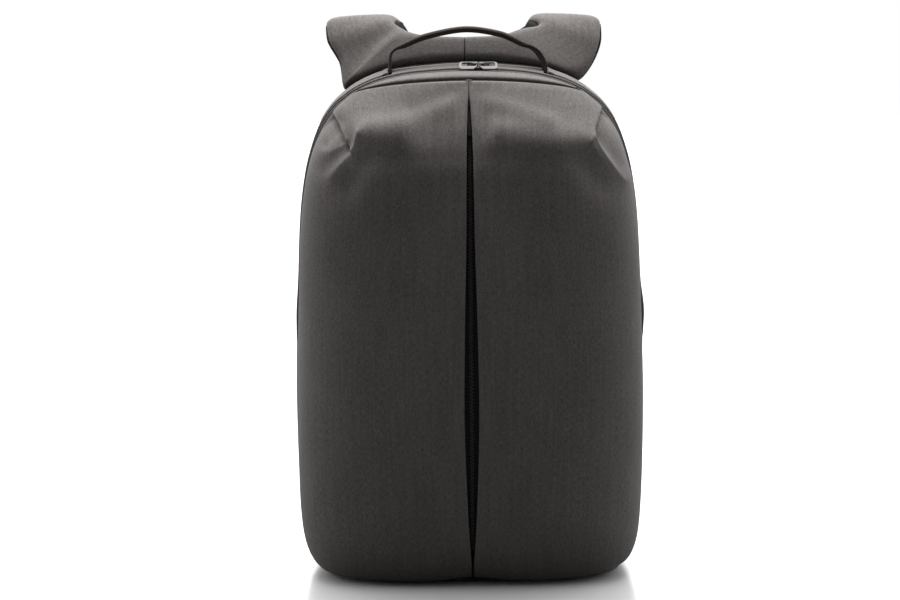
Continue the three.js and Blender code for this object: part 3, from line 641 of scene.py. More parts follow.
@dataclass(frozen=True)
class Relief:
    """How rough and how glossy a woven finish is, and how deep its threads stand."""

    rough: float
    gloss: float
    bump: float
    bump_mm: float

    def dress(self, sketch: Sketch, shader: Node, colour: NodeSocket, height: NodeSocket) -> None:
        """Leads a weave's colour and height into a shader, and sets its roughness and gloss."""
        sketch.lead(shader, {"Base Color": colour, "Roughness": self.rough,
                             "Specular IOR Level": self.gloss})
        bump_into(sketch, shader, height, self.bump, self.bump_mm)


@dataclass(frozen=True)
class Cloth:
    """Woven melange cloth."""

    name: str
    dark: Colour
    light: Colour
    threads: float = 1900.0
    slub: float = 0.45
    sheen: float = 0.12
    sheen_rough: float = 0.5
    relief: Relief = Relief(rough=0.92, gloss=0.15, bump=0.5, bump_mm=0.25)

    def material(self, weave: NodeTree) -> Material:
        """Builds the material from the weave's group."""
        material, sketch, shader = new_material(self.name)
        group = place_group(sketch, weave, "UV", Dark=(*self.dark, 1), Light=(*self.light, 1),
                            Threads=self.threads, Slub=self.slub)
        sketch.lead(shader, {"Sheen Weight": self.sheen, "Sheen Roughness": self.sheen_rough})
        self.relief.dress(sketch, shader, group.outputs["Color"], group.outputs["Height"])
        return material


@dataclass(frozen=True)
class Mesh:
    """Dark spacer mesh."""

    name: str
    yarn: Colour
    hole: Colour
    holes: float = 330.0
    relief: Relief = Relief(rough=0.9, gloss=0.2, bump=0.7, bump_mm=0.9)

    def material(self, knit: NodeTree) -> Material:
        """Builds the material from the knit's group."""
        material, sketch, shader = new_material(self.name)
        group = place_group(sketch, knit, "UV", Holes=self.holes)
        # The holes are painted near-black: painted shade in them, over a layer beneath that is as black as
        # the yarn.
        colour = sketch.blend(group.outputs["Hole"], (*self.yarn, 1), (*self.hole, 1))
        self.relief.dress(sketch, shader, colour, group.outputs["Height"])
        return material


@dataclass(frozen=True)
class Webbing:
    """Ribbed woven webbing."""

    name: str
    dark: Colour
    light: Colour
    ribs: float
    vector: str = "UV"
    relief: Relief = Relief(rough=0.78, gloss=0.25, bump=0.6, bump_mm=0.3)

    def material(self, ribs: NodeTree) -> Material:
        """Builds the material from the ribs' group."""
        material, sketch, shader = new_material(self.name)
        group = place_group(sketch, ribs, self.vector, Ribs=self.ribs)
        # Painted shade: the blend follows the ribs' height, darker in the grooves, with random fuzz in tone.
        colour = sketch.blend(group.outputs["Shade"], (*self.dark, 1), (*self.light, 1))
        self.relief.dress(sketch, shader, colour, group.outputs["Height"])
        return material


@dataclass(frozen=True)
class Moulded:
    """Moulded plastic or polished metal, with a roughness that varies a little."""

    name: str
    colour: Colour
    smoothest: float
    roughest: float
    metal: float = 0.0
    grain: float = 900.0
    grain_detail: float = 3.0
    grain_range: tuple[float, float] = (0.3, 0.7)
    gloss: float = 0.5
    bump: float = 0.3
    bump_mm: float = 0.0

    def material(self) -> Material:
        """Builds the material."""
        material, sketch, shader = new_material(self.name)
        where = sketch.node("ShaderNodeTexCoord").outputs["Object"]
        wanted = {"Vector": where, "Scale": self.grain, "Detail": self.grain_detail}
        grain = sketch.node("ShaderNodeTexNoise", wanted).outputs[0]
        rough = sketch.spread(grain, *self.grain_range, self.smoothest, self.roughest)
        sketch.lead(shader, {"Roughness": rough, "Base Color": (*self.colour, 1), "Metallic": self.metal,
                             "Specular IOR Level": self.gloss})
        if self.bump_mm:
            bump_into(sketch, shader, grain, self.bump, self.bump_mm)
        return material


CLOTHS = {
    "cloth": Cloth("melange_cloth", dark=(0.042, 0.038, 0.036), light=(0.148, 0.1358, 0.131)),
    "dark_cloth": Cloth("charcoal_cloth", dark=(0.02, 0.0185, 0.018), light=(0.075, 0.07, 0.068)),
    "main_tape": Cloth("grey_tape", dark=(0.036, 0.0335, 0.032), light=(0.12, 0.111, 0.107), slub=0.2),
    "tape": Cloth("zip_tape", dark=(0.008, 0.008, 0.008), light=(0.035, 0.034, 0.034), slub=0.2, sheen=0.0),
}
# The near-black of the holes is painted shade in them, darker than the black yarn itself.
MESHES = {"mesh": Mesh("spacer_mesh_black", yarn=(0.022, 0.021, 0.021), hole=(0.003, 0.003, 0.003))}
WEBBINGS = {
    "handle": Webbing("handle_webbing", dark=(0.006, 0.005, 0.0045), light=(0.046, 0.037, 0.032), ribs=400),
    "webbing": Webbing("strap_webbing", dark=(0.01, 0.009, 0.009), light=(0.04, 0.037, 0.035), ribs=640,
                       vector="Object"),
}
MOULDINGS = {
    "main_coil": Moulded("grey_coil", (0.075, 0.072, 0.07), smoothest=0.45, roughest=0.65),
    "coil": Moulded("zip_coil", (0.04, 0.04, 0.04), smoothest=0.35, roughest=0.55),
    "plastic": Moulded("satin_plastic", (0.012, 0.012, 0.012), smoothest=0.38, roughest=0.55, bump_mm=0.05),
    "matte": Moulded("matte_plastic", (0.012, 0.012, 0.012), smoothest=0.7, roughest=0.85, gloss=0.1),
    "steel": Moulded("polished_steel", (0.26, 0.256, 0.254), smoothest=0.1, roughest=0.2, metal=1.0),
    # Painted shade: the sliders' steel is set darker than the pullers' steel, standing for the shade under
    # the pullers.
    "dark_steel": Moulded("dark_steel", (0.2, 0.196, 0.192), smoothest=0.16, roughest=0.3, metal=1.0),
}


@dataclass
class Finishes:
    """Every material of the bag."""

    cloth: Material = field(init=False)
    dark_cloth: Material = field(init=False)
    mesh: Material = field(init=False)
    handle: Material = field(init=False)
    webbing: Material = field(init=False)
    main_tape: Material = field(init=False)
    main_coil: Material = field(init=False)
    tape: Material = field(init=False)
    coil: Material = field(init=False)
    plastic: Material = field(init=False)
    matte: Material = field(init=False)
    steel: Material = field(init=False)
    dark_steel: Material = field(init=False)

    def __post_init__(self) -> None:
        """Builds the groups once and places them in the materials."""
        weave, knit, ribs = MelangeWeave().group(), SpacerMesh().group(), WebbingRibs().group()
        for named, group in ((CLOTHS, weave), (MESHES, knit), (WEBBINGS, ribs)):
            for key, finish in named.items():
                setattr(self, key, finish.material(group))
        for key, finish in MOULDINGS.items():
            setattr(self, key, finish.material())


# Shape of the bag, from the same named sizes as its solids

CORE_MIN = np.array((-95.0, -45.0, 45.0))
CORE_MAX = np.array((95.0, 50.0, 385.0))
HEART_MIN = np.array((-60.0, -20.0, 45.0))
HEART_MAX = np.array((60.0, 50.0, 340.0))

SEAM_STATIONS = Table(
    ("seam_x", "seam_y", "seam_z", "rim_x", "rim_z"),
    (
        (117.5, 20, 0, 117.5, 0),
        (130, 20, 5, 130, 5),
        (139.6, 20, 18, 140, 18),
        (144.7, 20, 36, 145.2, 36),
        (147.3, 20, 70, 147.6, 70),
        (149, 20, 150, 149, 150),
        (146.5, 19, 235, 147.3, 237),
        (143.5, 17, 300, 145, 303),
        (138.4, 15, 340, 140.5, 342),
        (131.8, 13, 366, 134, 368),
        (123.4, 11.5, 385.5, 125.7, 389),
        (113.5, 10.5, 398.5, 115, 404),
        (104.8, 10, 405.5, 104.8, 413),
        (97, 10, 411, 97, 418.5),
        (74.5, 10, 420.4, 74.5, 428.3),
        (44, 10, 426.6, 44, 433.3),
        (0, 10, 428.8, 0, 436),
    ),
)
TOP_CENTRE = SEAM_STATIONS.last
PANEL_CORNER = 13

FRONT_SECTIONS = Table(
    ("front_y", "slit_z", "slit", "square", "crown", "flange", "valley"),
    (
        (-48, 0, 0.4, 3, 0, 4, 0),
        (-62, 5, 0.4, 3, 1, 6, 0),
        (-71, 16, 0.6, 3, 1.5, 9, 0),
        (-76.5, 36, 1.8, 2.9, 2, 9, 0),
        (-79, 70, 3.6, 2.7, 2, 9, 0),
        (-79.7, 150, 5.8, 2.6, 2, 9, 0),
        (-79.7, 235, 4.6, 2.6, 2, 9, 1.5),
        (-79.4, 300, 3, 2.6, 2, 9, 6),
        (-78.5, 342, 2.6, 2.6, 1.5, 9, 11),
        (-74, 362, 2.4, 2.6, 1, 9, 12),
        (-63, 379, 2, 2.55, 1, 9, 9),
        (-46.5, 395.5, 1.2, 2.35, 1, 9, 4),
        (-31, 411, 0.5, 2.1, 1, 5, 1),
        (-20, 423.4, 0.4, 1.8, 0, 1.5, 0),
    ),
)


def toward_core(points: Array, low: Array = CORE_MIN, high: Array = CORE_MAX) -> Array:
    """Unit directions from points on the cloth towards a box inside the bag.

    Args:
        points: The points.
        low: The box's lowest corner.
        high: The box's highest corner.

    Returns:
        The directions.
    """
    way = np.clip(points, low, high) - points
    return way / np.maximum(np.linalg.norm(way, axis=-1, keepdims=True), NO_LENGTH)


@dataclass(frozen=True)
class Fold:
    """A fold of the cloth along a line in the front view, in millimetres; it may fade towards each end."""

    kind: FoldKind
    start: tuple[float, float]
    end: tuple[float, float]
    depth: float
    reach: float
    fade_start: float = 1.0
    fade_end: float = 1.0
    crest_soft: float = 0.02
    crest_level: float = 0.14
    tuck_step: float = 1.2

    def press(self, x: Array, z: Array) -> Array:
        """How far the fold presses points of the front in.

        Args:
            x: Their places across the bag.
            z: Their heights.

        Returns:
            The depths, below zero where the cloth stands out.
        """
        start, run = np.array(self.start), np.array(self.end) - np.array(self.start)
        length = float(np.linalg.norm(run))
        off_x, off_z = x - start[0], z - start[1]
        raw = (off_x * run[0] + off_z * run[1]) / length**2
        along = np.clip(raw, 0, 1)
        distance = np.hypot(off_x - along * run[0], off_z - along * run[1])
        strength = part_way(self.fade_start, self.fade_end, along)
        if self.kind is FoldKind.HOLLOW:
            return self.depth * strength * bell(distance, self.reach)
        if self.kind is FoldKind.CREASE:
            away = np.sqrt((distance / self.reach) ** 2 + self.crest_soft)
            return self.depth * strength * np.exp(-away + self.crest_level)
        beside = (off_x * run[1] - off_z * run[0]) / length
        ends = bell(np.abs(raw - along) * length, self.reach)
        step = smooth(-self.tuck_step, self.tuck_step, beside)
        pressed = step * np.exp(-np.maximum(beside, 0) / self.reach)
        return self.depth * strength * ends * pressed


@dataclass
class BagShape:
    """The bag's outer form: its front sections, the seam before the zip, and the rim at its back."""

    rim_y: float = 61.6
    seam_gap: float = 0.5
    slit_roll: float = 3.2
    valley_reach: float = 36.0
    sewn_roll: float = 1.1
    sewn_sections: tuple[float, float] = (11.2, 12.2)
    slit_lift: float = 4.0
    slit_lift_reach: float = 26.0
    slit_lift_top: float = 40.0
    slit_step: float = 0.05
    turned_down: float = 0.5
    rise_power: float = 4.0
    bulge_z: float = 222.0
    bulge_reach: float = 22.0
    bulge_left: float = 1.5
    bulge_right: float = 3.5
    bulge_back: float = 0.8
    bulge_stations: float = 12.0
    arch_start: float = 5.0
    arch_steps: int = 4000

    def __post_init__(self) -> None:
        """Reads the tables as runs."""
        for name in SEAM_STATIONS.names:
            setattr(self, name, SEAM_STATIONS.run(name, name.endswith("_z")))
        for name in FRONT_SECTIONS.names:
            setattr(self, name, FRONT_SECTIONS.run(name))

    def slit_y(self, t: Array) -> Array:
        """How far forward the slit lies, at the bottom of the shallow valley along it."""
        return self.front_y(t) + self.valley(t)

    def sewn(self, t: Array) -> Array:
        """How far the slit's edges are sewn together, from 0 to 1."""
        return smooth(*self.sewn_sections, t)

    def roll(self, t: Array) -> Array:
        """Radius of the slit's rolled edges, least where they are sewn together."""
        return part_way(self.slit_roll, self.sewn_roll, self.sewn(t))

    def lifted(self, z: Array) -> Array:
        """How far the slit's foot is lifted off the floor, at heights on it."""
        return self.slit_lift * np.maximum(0, 1 - z / self.slit_lift_top)

    def section(self, t: Array, angle: Array, side: Side) -> Array:
        """Points of the front without its folds.

        Args:
            t: Section number, from the floor to the panel's top corner.
            angle: From 0 at the slit to a right angle at the side seam.
            side: Left or right half.

        Returns:
            The points.
        """
        power = 2 / self.square(t)
        across = np.sin(angle) ** power
        ahead = np.clip(np.cos(angle), 0, 1) ** power
        start = self.slit(t) + self.roll(t)
        edge_y = self.seam_y(t) - self.seam_gap
        x = part_way(start, self.seam_x(t), across)
        sunk = self.valley(t) * bell(x - start, self.valley_reach)
        y = part_way(edge_y, self.front_y(t), ahead) - self.crown(t) * np.sin(math.pi * across**2) + sunk
        z = part_way(self.seam_z(t), self.slit_z(t), ahead)
        lift = self.lifted(z) * bell(x, self.slit_lift_reach)
        return np.stack((side.value * x, y, z + lift), axis=-1)

    def slit_edge(self, t: Array) -> tuple[Array, Array]:
        """The front's centre line, and the direction into the bag there.

        Args:
            t: Section number.

        Returns:
            Points of the line, and unit directions.
        """
        z = self.slit_z(t)
        line = np.stack((np.zeros_like(t), self.slit_y(t), z + self.lifted(z)), axis=-1)
        a, b = np.maximum(0, t - self.slit_step), np.minimum(PANEL_CORNER, t + self.slit_step)
        dy, dz = self.slit_y(b) - self.slit_y(a), self.slit_z(b) - self.slit_z(a)
        inward = unit(np.stack((np.zeros_like(t), dz, -dy), axis=-1))
        down = smooth(PANEL_CORNER - self.turned_down, PANEL_CORNER, t)[..., None]
        return line, unit(inward * (1 - down) + np.array((0.0, 0.0, -1.0)) * down)

    def gusset(self, q: Array, share: Array, side: Side) -> Array:
        """Points of the body behind the seam.

        Args:
            q: Station, from the floor to the top centre.
            share: Part of the way from the seam to the rim.
            side: Left or right half.

        Returns:
            The points.
        """
        q, share = np.broadcast_arrays(np.asarray(q, float), np.asarray(share, float))
        rise = 1 - (1 - share) ** self.rise_power
        x = part_way(self.seam_x(q), self.rim_x(q), rise)
        y = part_way(self.seam_y(q), self.rim_y, share)
        z = part_way(self.seam_z(q), self.rim_z(q), rise)
        most = self.bulge_right if side is Side.RIGHT else self.bulge_left
        bulge = most * bell(z - self.bulge_z, self.bulge_reach) * (q < self.bulge_stations)
        fade = np.sqrt(np.maximum(0, np.sin(math.pi * np.minimum(1, share / self.bulge_back))))
        return np.stack((side.value * (x + bulge * fade), y, z), axis=-1)

    def over_top(self, q: Array, share: Array) -> Array:
        """Points behind the seam on a way from the left side over the top to the right.

        Args:
            q: Station on the left half; past the top centre it runs down the right half.
            share: Part of the way from the seam to the rim.

        Returns:
            The points.
        """
        folded = np.where(q > TOP_CENTRE, 2 * TOP_CENTRE - q, q)
        left, right = (self.gusset(folded, share, side) for side in Side)
        return np.where((q > TOP_CENTRE)[..., None], right, left)

    def station_at(self, run: Run, x: Array) -> Array:
        """Stations on the top arch where a run passes given half widths."""
        q = np.linspace(TOP_CENTRE, self.arch_start, self.arch_steps)
        return np.interp(x, run(q), q)

    def panel_top(self, x: Array) -> Array:
        """Top edge of the front panels at distances from the centre."""
        n = float(self.square(PANEL_CORNER))
        across = np.minimum(1, np.abs(x) / self.seam_x(PANEL_CORNER))
        ahead = (1 - across**n) ** (1 / n)
        edge_y = self.seam_y(PANEL_CORNER) - self.seam_gap
        y = part_way(edge_y, self.slit_y(PANEL_CORNER), ahead)
        z = part_way(self.seam_z(PANEL_CORNER), self.slit_z(PANEL_CORNER), ahead)
        return np.stack((x, y, z), axis=-1)


# Front of the bag


@dataclass
class FrontPanels:
    """The two cloth halves of the front, with their darts and creases, that meet at the centre slit."""

    shape: BagShape
    finishes: Finishes
    rows: int = 280
    columns: int = 138
    edge_columns: int = 13
    fine_rows: int = 2000
    fine_columns: int = 1600
    row_angle: float = 0.8
    close_rows: tuple[float, float] = (310, 350)
    wall: float = 2.2
    flange_flare: float = 3.4
    flange_deep: float = 9.0
    flange_clear: float = 0.3
    flare_power: float = 1.5
    seam_curl: float = 1.7
    seam_reach: float = 2.4
    sewn_shut: float = 0.55
    fold_off_seam: float = 7
    fold_off_slit: float = 16
    flat_off_top: float = 14
    slack: float = 0.7
    slack_heights: tuple[float, float] = (10, 70)
    slack_off_seam: float = 40
    slack_off_slit: float = 30
    wave_turn: float = 1.3
    waves: tuple[tuple[float, ...], ...] = ((1, 23, 61, 1), (1, 41, -37, 2), (0.6, 15, 140, -1))
    folds: tuple[Fold, ...] = (
        Fold(FoldKind.TUCK, (-117, 396), (-101, 368.5), 6.5, 12, 1, 0.6),
        Fold(FoldKind.CREASE, (-89, 376), (-113, 346), -5.6, 5.5, 0.8, 0.3),
        Fold(FoldKind.HOLLOW, (-108, 386), (-99, 371), 2.6, 8),
        Fold(FoldKind.HOLLOW, (-104, 372), (-121, 350), 3.6, 7.5, 1, 0.6),
        Fold(FoldKind.HOLLOW, (-112, 391), (-122, 371), 2.2, 5, 1, 1),
        Fold(FoldKind.CREASE, (-104, 375), (-116, 364), -3.6, 4.5, 1, 0.5),
        Fold(FoldKind.HOLLOW, (-82, 366), (-101, 336), 3.2, 11, 1, 0.7),
        Fold(FoldKind.TUCK, (105, 380), (115, 399.5), 6.5, 12, 0.7, 1),
        Fold(FoldKind.CREASE, (102.5, 372), (129, 338), -5.2, 5, 0.9, 0.35),
        Fold(FoldKind.CREASE, (101.6, 384), (102, 372), -2.2, 4.5, 0.5, 1),
        Fold(FoldKind.CREASE, (98.5, 369), (110, 355), -2.2, 4.5, 1, 0.3),
        Fold(FoldKind.HOLLOW, (111, 374), (127, 351), 3.4, 7.5, 1, 0.6),
        Fold(FoldKind.HOLLOW, (90, 360), (110, 336), 3.2, 11, 1, 0.7),
        Fold(FoldKind.CREASE, (123, 10), (132, 4), 2.4, 3.5, 0.4, 1),
        Fold(FoldKind.HOLLOW, (-60, 379), (-78, 377), -8.5, 14),
        Fold(FoldKind.HOLLOW, (-14, 414), (-48, 402), 1.6, 8),
        Fold(FoldKind.HOLLOW, (-12, 401), (-50, 387.5), -2.4, 8, 1, 0.5),
        Fold(FoldKind.HOLLOW, (24, 377), (86, 370), -6.5, 14),
        Fold(FoldKind.HOLLOW, (9, 408), (13, 382), 1.5, 8),
        Fold(FoldKind.HOLLOW, (12, 404), (64, 387), -2.6, 8),
    )

    def stations(self) -> Array:
        """Section numbers of the rows, closest together near the top where the folds are."""
        t = np.linspace(0, PANEL_CORNER, self.fine_rows)
        line = self.shape.section(t, np.full_like(t, self.row_angle), Side.RIGHT)
        step = np.diff(run_length(line, 0), prepend=0)
        return evenly(t, np.cumsum(step * (1 + smooth(*self.close_rows, line[:, 2]))), self.rows)

    def flange(self, t: Array, side: Side) -> Array:
        """The edge that turns into the slit, from deep in it to its rolled rim.

        Args:
            t: Section number of each row.
            side: Left or right half.

        Returns:
            Rows of points.
        """
        line, inward = self.shape.slit_edge(t)
        deep = self.shape.flange(t)[:, None]
        roll = self.shape.roll(t)[:, None]
        bend = np.minimum(roll, deep / 2)
        clear = self.flange_clear
        half = (self.shape.slit(t) - self.sewn_shut * self.shape.sewn(t))[:, None]
        down = np.linspace(1, 0, self.edge_columns // 3 + 1)[None, :-1]
        turn = np.linspace(0, math.pi / 2, self.edge_columns - down.shape[1] + 1)[None, :-1]
        flare = self.flange_flare * deep / self.flange_deep
        x = np.concatenate((half + clear + (flare - clear) * down**self.flare_power,
                            half + clear + (roll - clear) * (1 - np.cos(turn))), axis=1)
        depth = np.concatenate((bend + (deep - bend) * down, bend * (1 - np.sin(turn))), axis=1)
        points = line[:, None, :] + inward[:, None, :] * depth[..., None]
        points[..., 0] = side.value * x
        return points

    def points(self, side: Side) -> Array:
        """One half's grid of points, from the flange in the slit to the side seam."""
        t = self.stations()
        even = np.linspace(0, 1, self.fine_columns)
        angle = math.pi / 2 * even**2 * (3 - 2 * even)
        fine = self.shape.section(t[:, None], angle[None, :], side)
        length = run_length(fine, 1)
        face = np.empty((len(t), self.columns, 3))
        for i in range(len(t)):
            for k in range(3):
                face[i, :, k] = evenly(fine[i, :, k], length[i], self.columns)
        from_slit = run_length(face, 1)
        from_seam = from_slit[:, -1:] - from_slit
        from_top = run_length(face[::-1], 0)[::-1]
        press = sum(fold.press(face[..., 0], face[..., 2]) for fold in self.folds)
        press = press * smooth(0, self.fold_off_seam, from_seam) * smooth(0, self.fold_off_slit, from_slit)
        slack = self.undulation(face, side) * smooth(*self.slack_heights, face[..., 2])
        slack = slack * smooth(0, self.slack_off_seam, from_seam) * smooth(0, self.slack_off_slit, from_slit)
        press = (press + slack) * smooth(0, self.flat_off_top, from_top)
        curl = sum(self.seam_curl * bell(away, self.seam_reach) for away in (from_seam, from_top))
        face = (face + toward_core(face, HEART_MIN, HEART_MAX) * press[..., None]
                + toward_core(face) * curl[..., None])
        face[..., 2] = np.maximum(face[..., 2], 0)
        return np.concatenate((self.flange(t, side), face), axis=1)

    def undulation(self, face: Array, side: Side) -> Array:
        """The slack of the cloth: a few long low waves, the same on each run."""
        x, z = face[..., 0], face[..., 2]
        turn = self.wave_turn * side.value
        waves = (high * np.sin(x / wide + z / tall + k * turn) for high, wide, tall, k in self.waves)
        return self.slack * sum(waves)

    def build(self) -> None:
        """Makes both halves."""
        for side in Side:
            points = self.points(side)
            obj = cloth_piece(f"front_cloth_{side.word}", points, self.wall, self.finishes.cloth, "cloth",
                              f"front_panel_{side.word}")
            size = flat_size(points)


@dataclass
class TopBand:
    """The crescent of cloth between the front panels and the main zip, rolled under along its front."""

    shape: BagShape
    finishes: Finishes
    half: float = 95.0
    wall: float = 1.8
    end_power: int = 4
    rows: int = 44
    columns: int = 180
    profile: Table = Table(
        ("share", "rise"),
        (
            (0.205, -6),
            (0.173, -2.3),
            (0.157, -0.4),
            (0.184, 0.9),
            (0.26, 1.6),
            (0.43, 1.8),
            (0.7, 1.6),
            (0.92, 0.7),
            (1, 0),
        ),
    )

    def points(self) -> Array:
        """The band's grid of points, from deep behind the panels over its roll to the zip."""
        x = np.linspace(-self.half, self.half, self.columns)
        front = self.shape.panel_top(x)
        q = self.shape.station_at(self.shape.seam_x, np.abs(x))
        rear = np.stack((x, self.shape.seam_y(q) - self.shape.seam_gap, self.shape.seam_z(q)), axis=-1)
        f = np.linspace(0, self.profile.last, self.rows)
        share, rise = (self.profile.run(name)(f)[:, None] for name in self.profile.names)
        points = front[None] * (1 - share[..., None]) + rear[None] * share[..., None]
        points[..., 2] += rise * (1 - (np.abs(x) / self.half) ** self.end_power)
        return points

    def build(self) -> None:
        """Makes the band."""
        points = self.points()
        obj = cloth_piece("top_band_cloth", points, self.wall, self.finishes.cloth, "cloth", "top_band")
        size = flat_size(points)[::-1]


# Zips


@dataclass(frozen=True)
class Coil:
    """A zip's coil: ribs along a line, set by turns to one side and the other."""

    pitch: float
    rib: tuple[float, float, float]
    swing: float
    rib_round: float = 0.32
    stands: float = 0.3

    def along(self, name: str, line: Array, up: Array) -> Object:
        """Sets the ribs along a line.

        Args:
            name: The piece's name.
            line: Points along the tape, in millimetres.
            up: Directions out of the tape.

        Returns:
            The coil.
        """
        length = run_length(line, 0)
        at = np.arange(self.pitch, length[-1] - self.pitch, self.pitch)

        def read(values: Array) -> Array:
            """Values at each rib."""
            return np.stack([np.interp(at, length, values[:, k]) for k in range(3)], axis=-1)

        along = unit(read(np.gradient(line, axis=0)))
        out = read(up)
        out = unit(out - along * np.sum(out * along, axis=-1, keepdims=True))
        across = np.cross(out, along)
        turn = np.where(np.arange(len(at)) % 2 == 0, self.swing, -self.swing)[:, None]
        origin = read(line) + across * turn + out * self.rib[2] * self.stands
        places = np.stack((origin, along, across, out), axis=1)
        return repeated(name, rounded_block(self.rib, self.rib_round), places)


@dataclass
class MainZip:
    """The zip over the top: woven tape with a coil along its middle."""

    shape: BagShape
    finishes: Finishes
    end: float = 5.56
    from_share: float = 0.012
    to_share: float = 0.15
    coil_share: float = 0.081
    tape: float = 1.2
    tape_columns: int = 9
    coil: Coil = Coil(pitch=1.35, rib=(0.95, 2.6, 1.5), swing=0.45)
    steps: int = 420
    fine_steps: int = 3000
    tucked: float = 0.14
    front_shares: tuple[float, ...] = (-0.03, -0.004)
    front_sinks: tuple[float, ...] = (5.5, 4.4)
    tuck_shares: tuple[float, ...] = (0.168, 0.2)
    tuck_sinks: tuple[float, ...] = (2.4, 3.8)
    end_sink: float = 3.0
    end_fade: tuple[float, float] = (-0.01, 0.04)

    def way(self, end: float) -> Array:
        """Stations along the zip, from its left end over the top to its right end, at even lengths."""
        q = np.linspace(end, 2 * TOP_CENTRE - end, self.fine_steps)
        line = self.shape.over_top(q, np.full_like(q, self.coil_share))
        return evenly(q, run_length(line, 0), self.steps)

    def build(self) -> None:
        """Makes the tape and the coil."""
        q = self.way(self.end - self.tucked)
        seen = np.linspace(self.from_share, self.to_share, self.tape_columns)
        share = np.concatenate((self.front_shares, seen, self.tuck_shares))
        tape = self.shape.over_top(q[:, None] + 0 * share[None], share[None] + 0 * q[:, None])
        sink = np.concatenate((self.front_sinks, np.zeros_like(seen), self.tuck_sinks))[None]
        past_end = self.end - np.where(q > TOP_CENTRE, 2 * TOP_CENTRE - q, q)
        sink = np.maximum(sink, self.end_sink * smooth(*self.end_fade, past_end)[:, None])
        tape = tape + toward_core(tape) * sink[..., None]
        cloth_piece("main_zip_tape", tape, self.tape, self.finishes.main_tape, "zip_grey", "main_zip")
        q = self.way(self.end)
        line = self.shape.over_top(q, np.full_like(q, self.coil_share))
        coil = self.coil.along("main_zip_coil", line, -toward_core(line))
        hand_over(coil, self.finishes.main_coil, "zip_grey", [])


@dataclass
class FrontZip:
    """The zip behind the slit of the front, with its slider."""

    shape: BagShape
    finishes: Finishes
    start: float = 2.6
    end: float = 12.3
    deep: float = 9.5
    half: float = 10.0
    tape: float = 1.4
    tape_columns: int = 9
    coil: Coil = Coil(pitch=1.5, rib=(1.05, 4.0, 1.8), swing=0.5)
    steps: int = 200
    slider_round: float = 0.35
    slider_faces: int = 3
    slider_sharp: float = 30.0
    slider_soft: float = 40.0

    def build(self) -> None:
        """Makes the tape, the coil and the slider."""
        t = np.linspace(self.start, self.end, self.steps)
        line, inward = self.shape.slit_edge(t)
        line = line + inward * self.deep
        x = np.linspace(-self.half, self.half, self.tape_columns)
        tape = np.repeat(line[:, None, :], len(x), axis=1)
        tape[..., 0] = x[None]
        cloth_piece("front_zip_tape", tape, self.tape, self.finishes.tape, "zip_black", "front_zip")
        coil = self.coil.along("front_zip_coil", line, -inward)
        hand_over(coil, self.finishes.coil, "zip_black", [])
        slider = rounded_copy("front_zip_slider", "front_slider", self.slider_round, self.slider_faces,
                              self.slider_sharp, self.slider_soft)
        hand_over(slider, self.finishes.matte, "zip_black", ["front_zip_slider"])


@dataclass
class ZipHardware:
    """The sliders on the main zip and their polished loop pullers."""

    finishes: Finishes
    slider_round: float = 0.4
    puller_round: float = 0.62
    edge_faces: int = 4
    sharp: float = 35.0
    soft: float = 50.0

    def build(self) -> None:
        """Makes both sliders and both pullers."""
        bodies = {Side.LEFT: Rides.LEFT_PULLER, Side.RIGHT: Rides.RIGHT_PULLER}
        for side, body in bodies.items():
            for part, radius, finish, rides in (
                # The sliders take the same steel painted darker, a painted shade under the pullers.
                ("slider", self.slider_round, self.finishes.dark_steel, Rides.BAG),
                ("puller", self.puller_round, self.finishes.steel, body),
            ):
                node = f"zip_{part}_{side.word}"
                obj = rounded_copy(node, f"top_{node}", radius, self.edge_faces, self.sharp, self.soft)
                hand_over(obj, finish, "steel", [node], rides)


# Sides, back and base


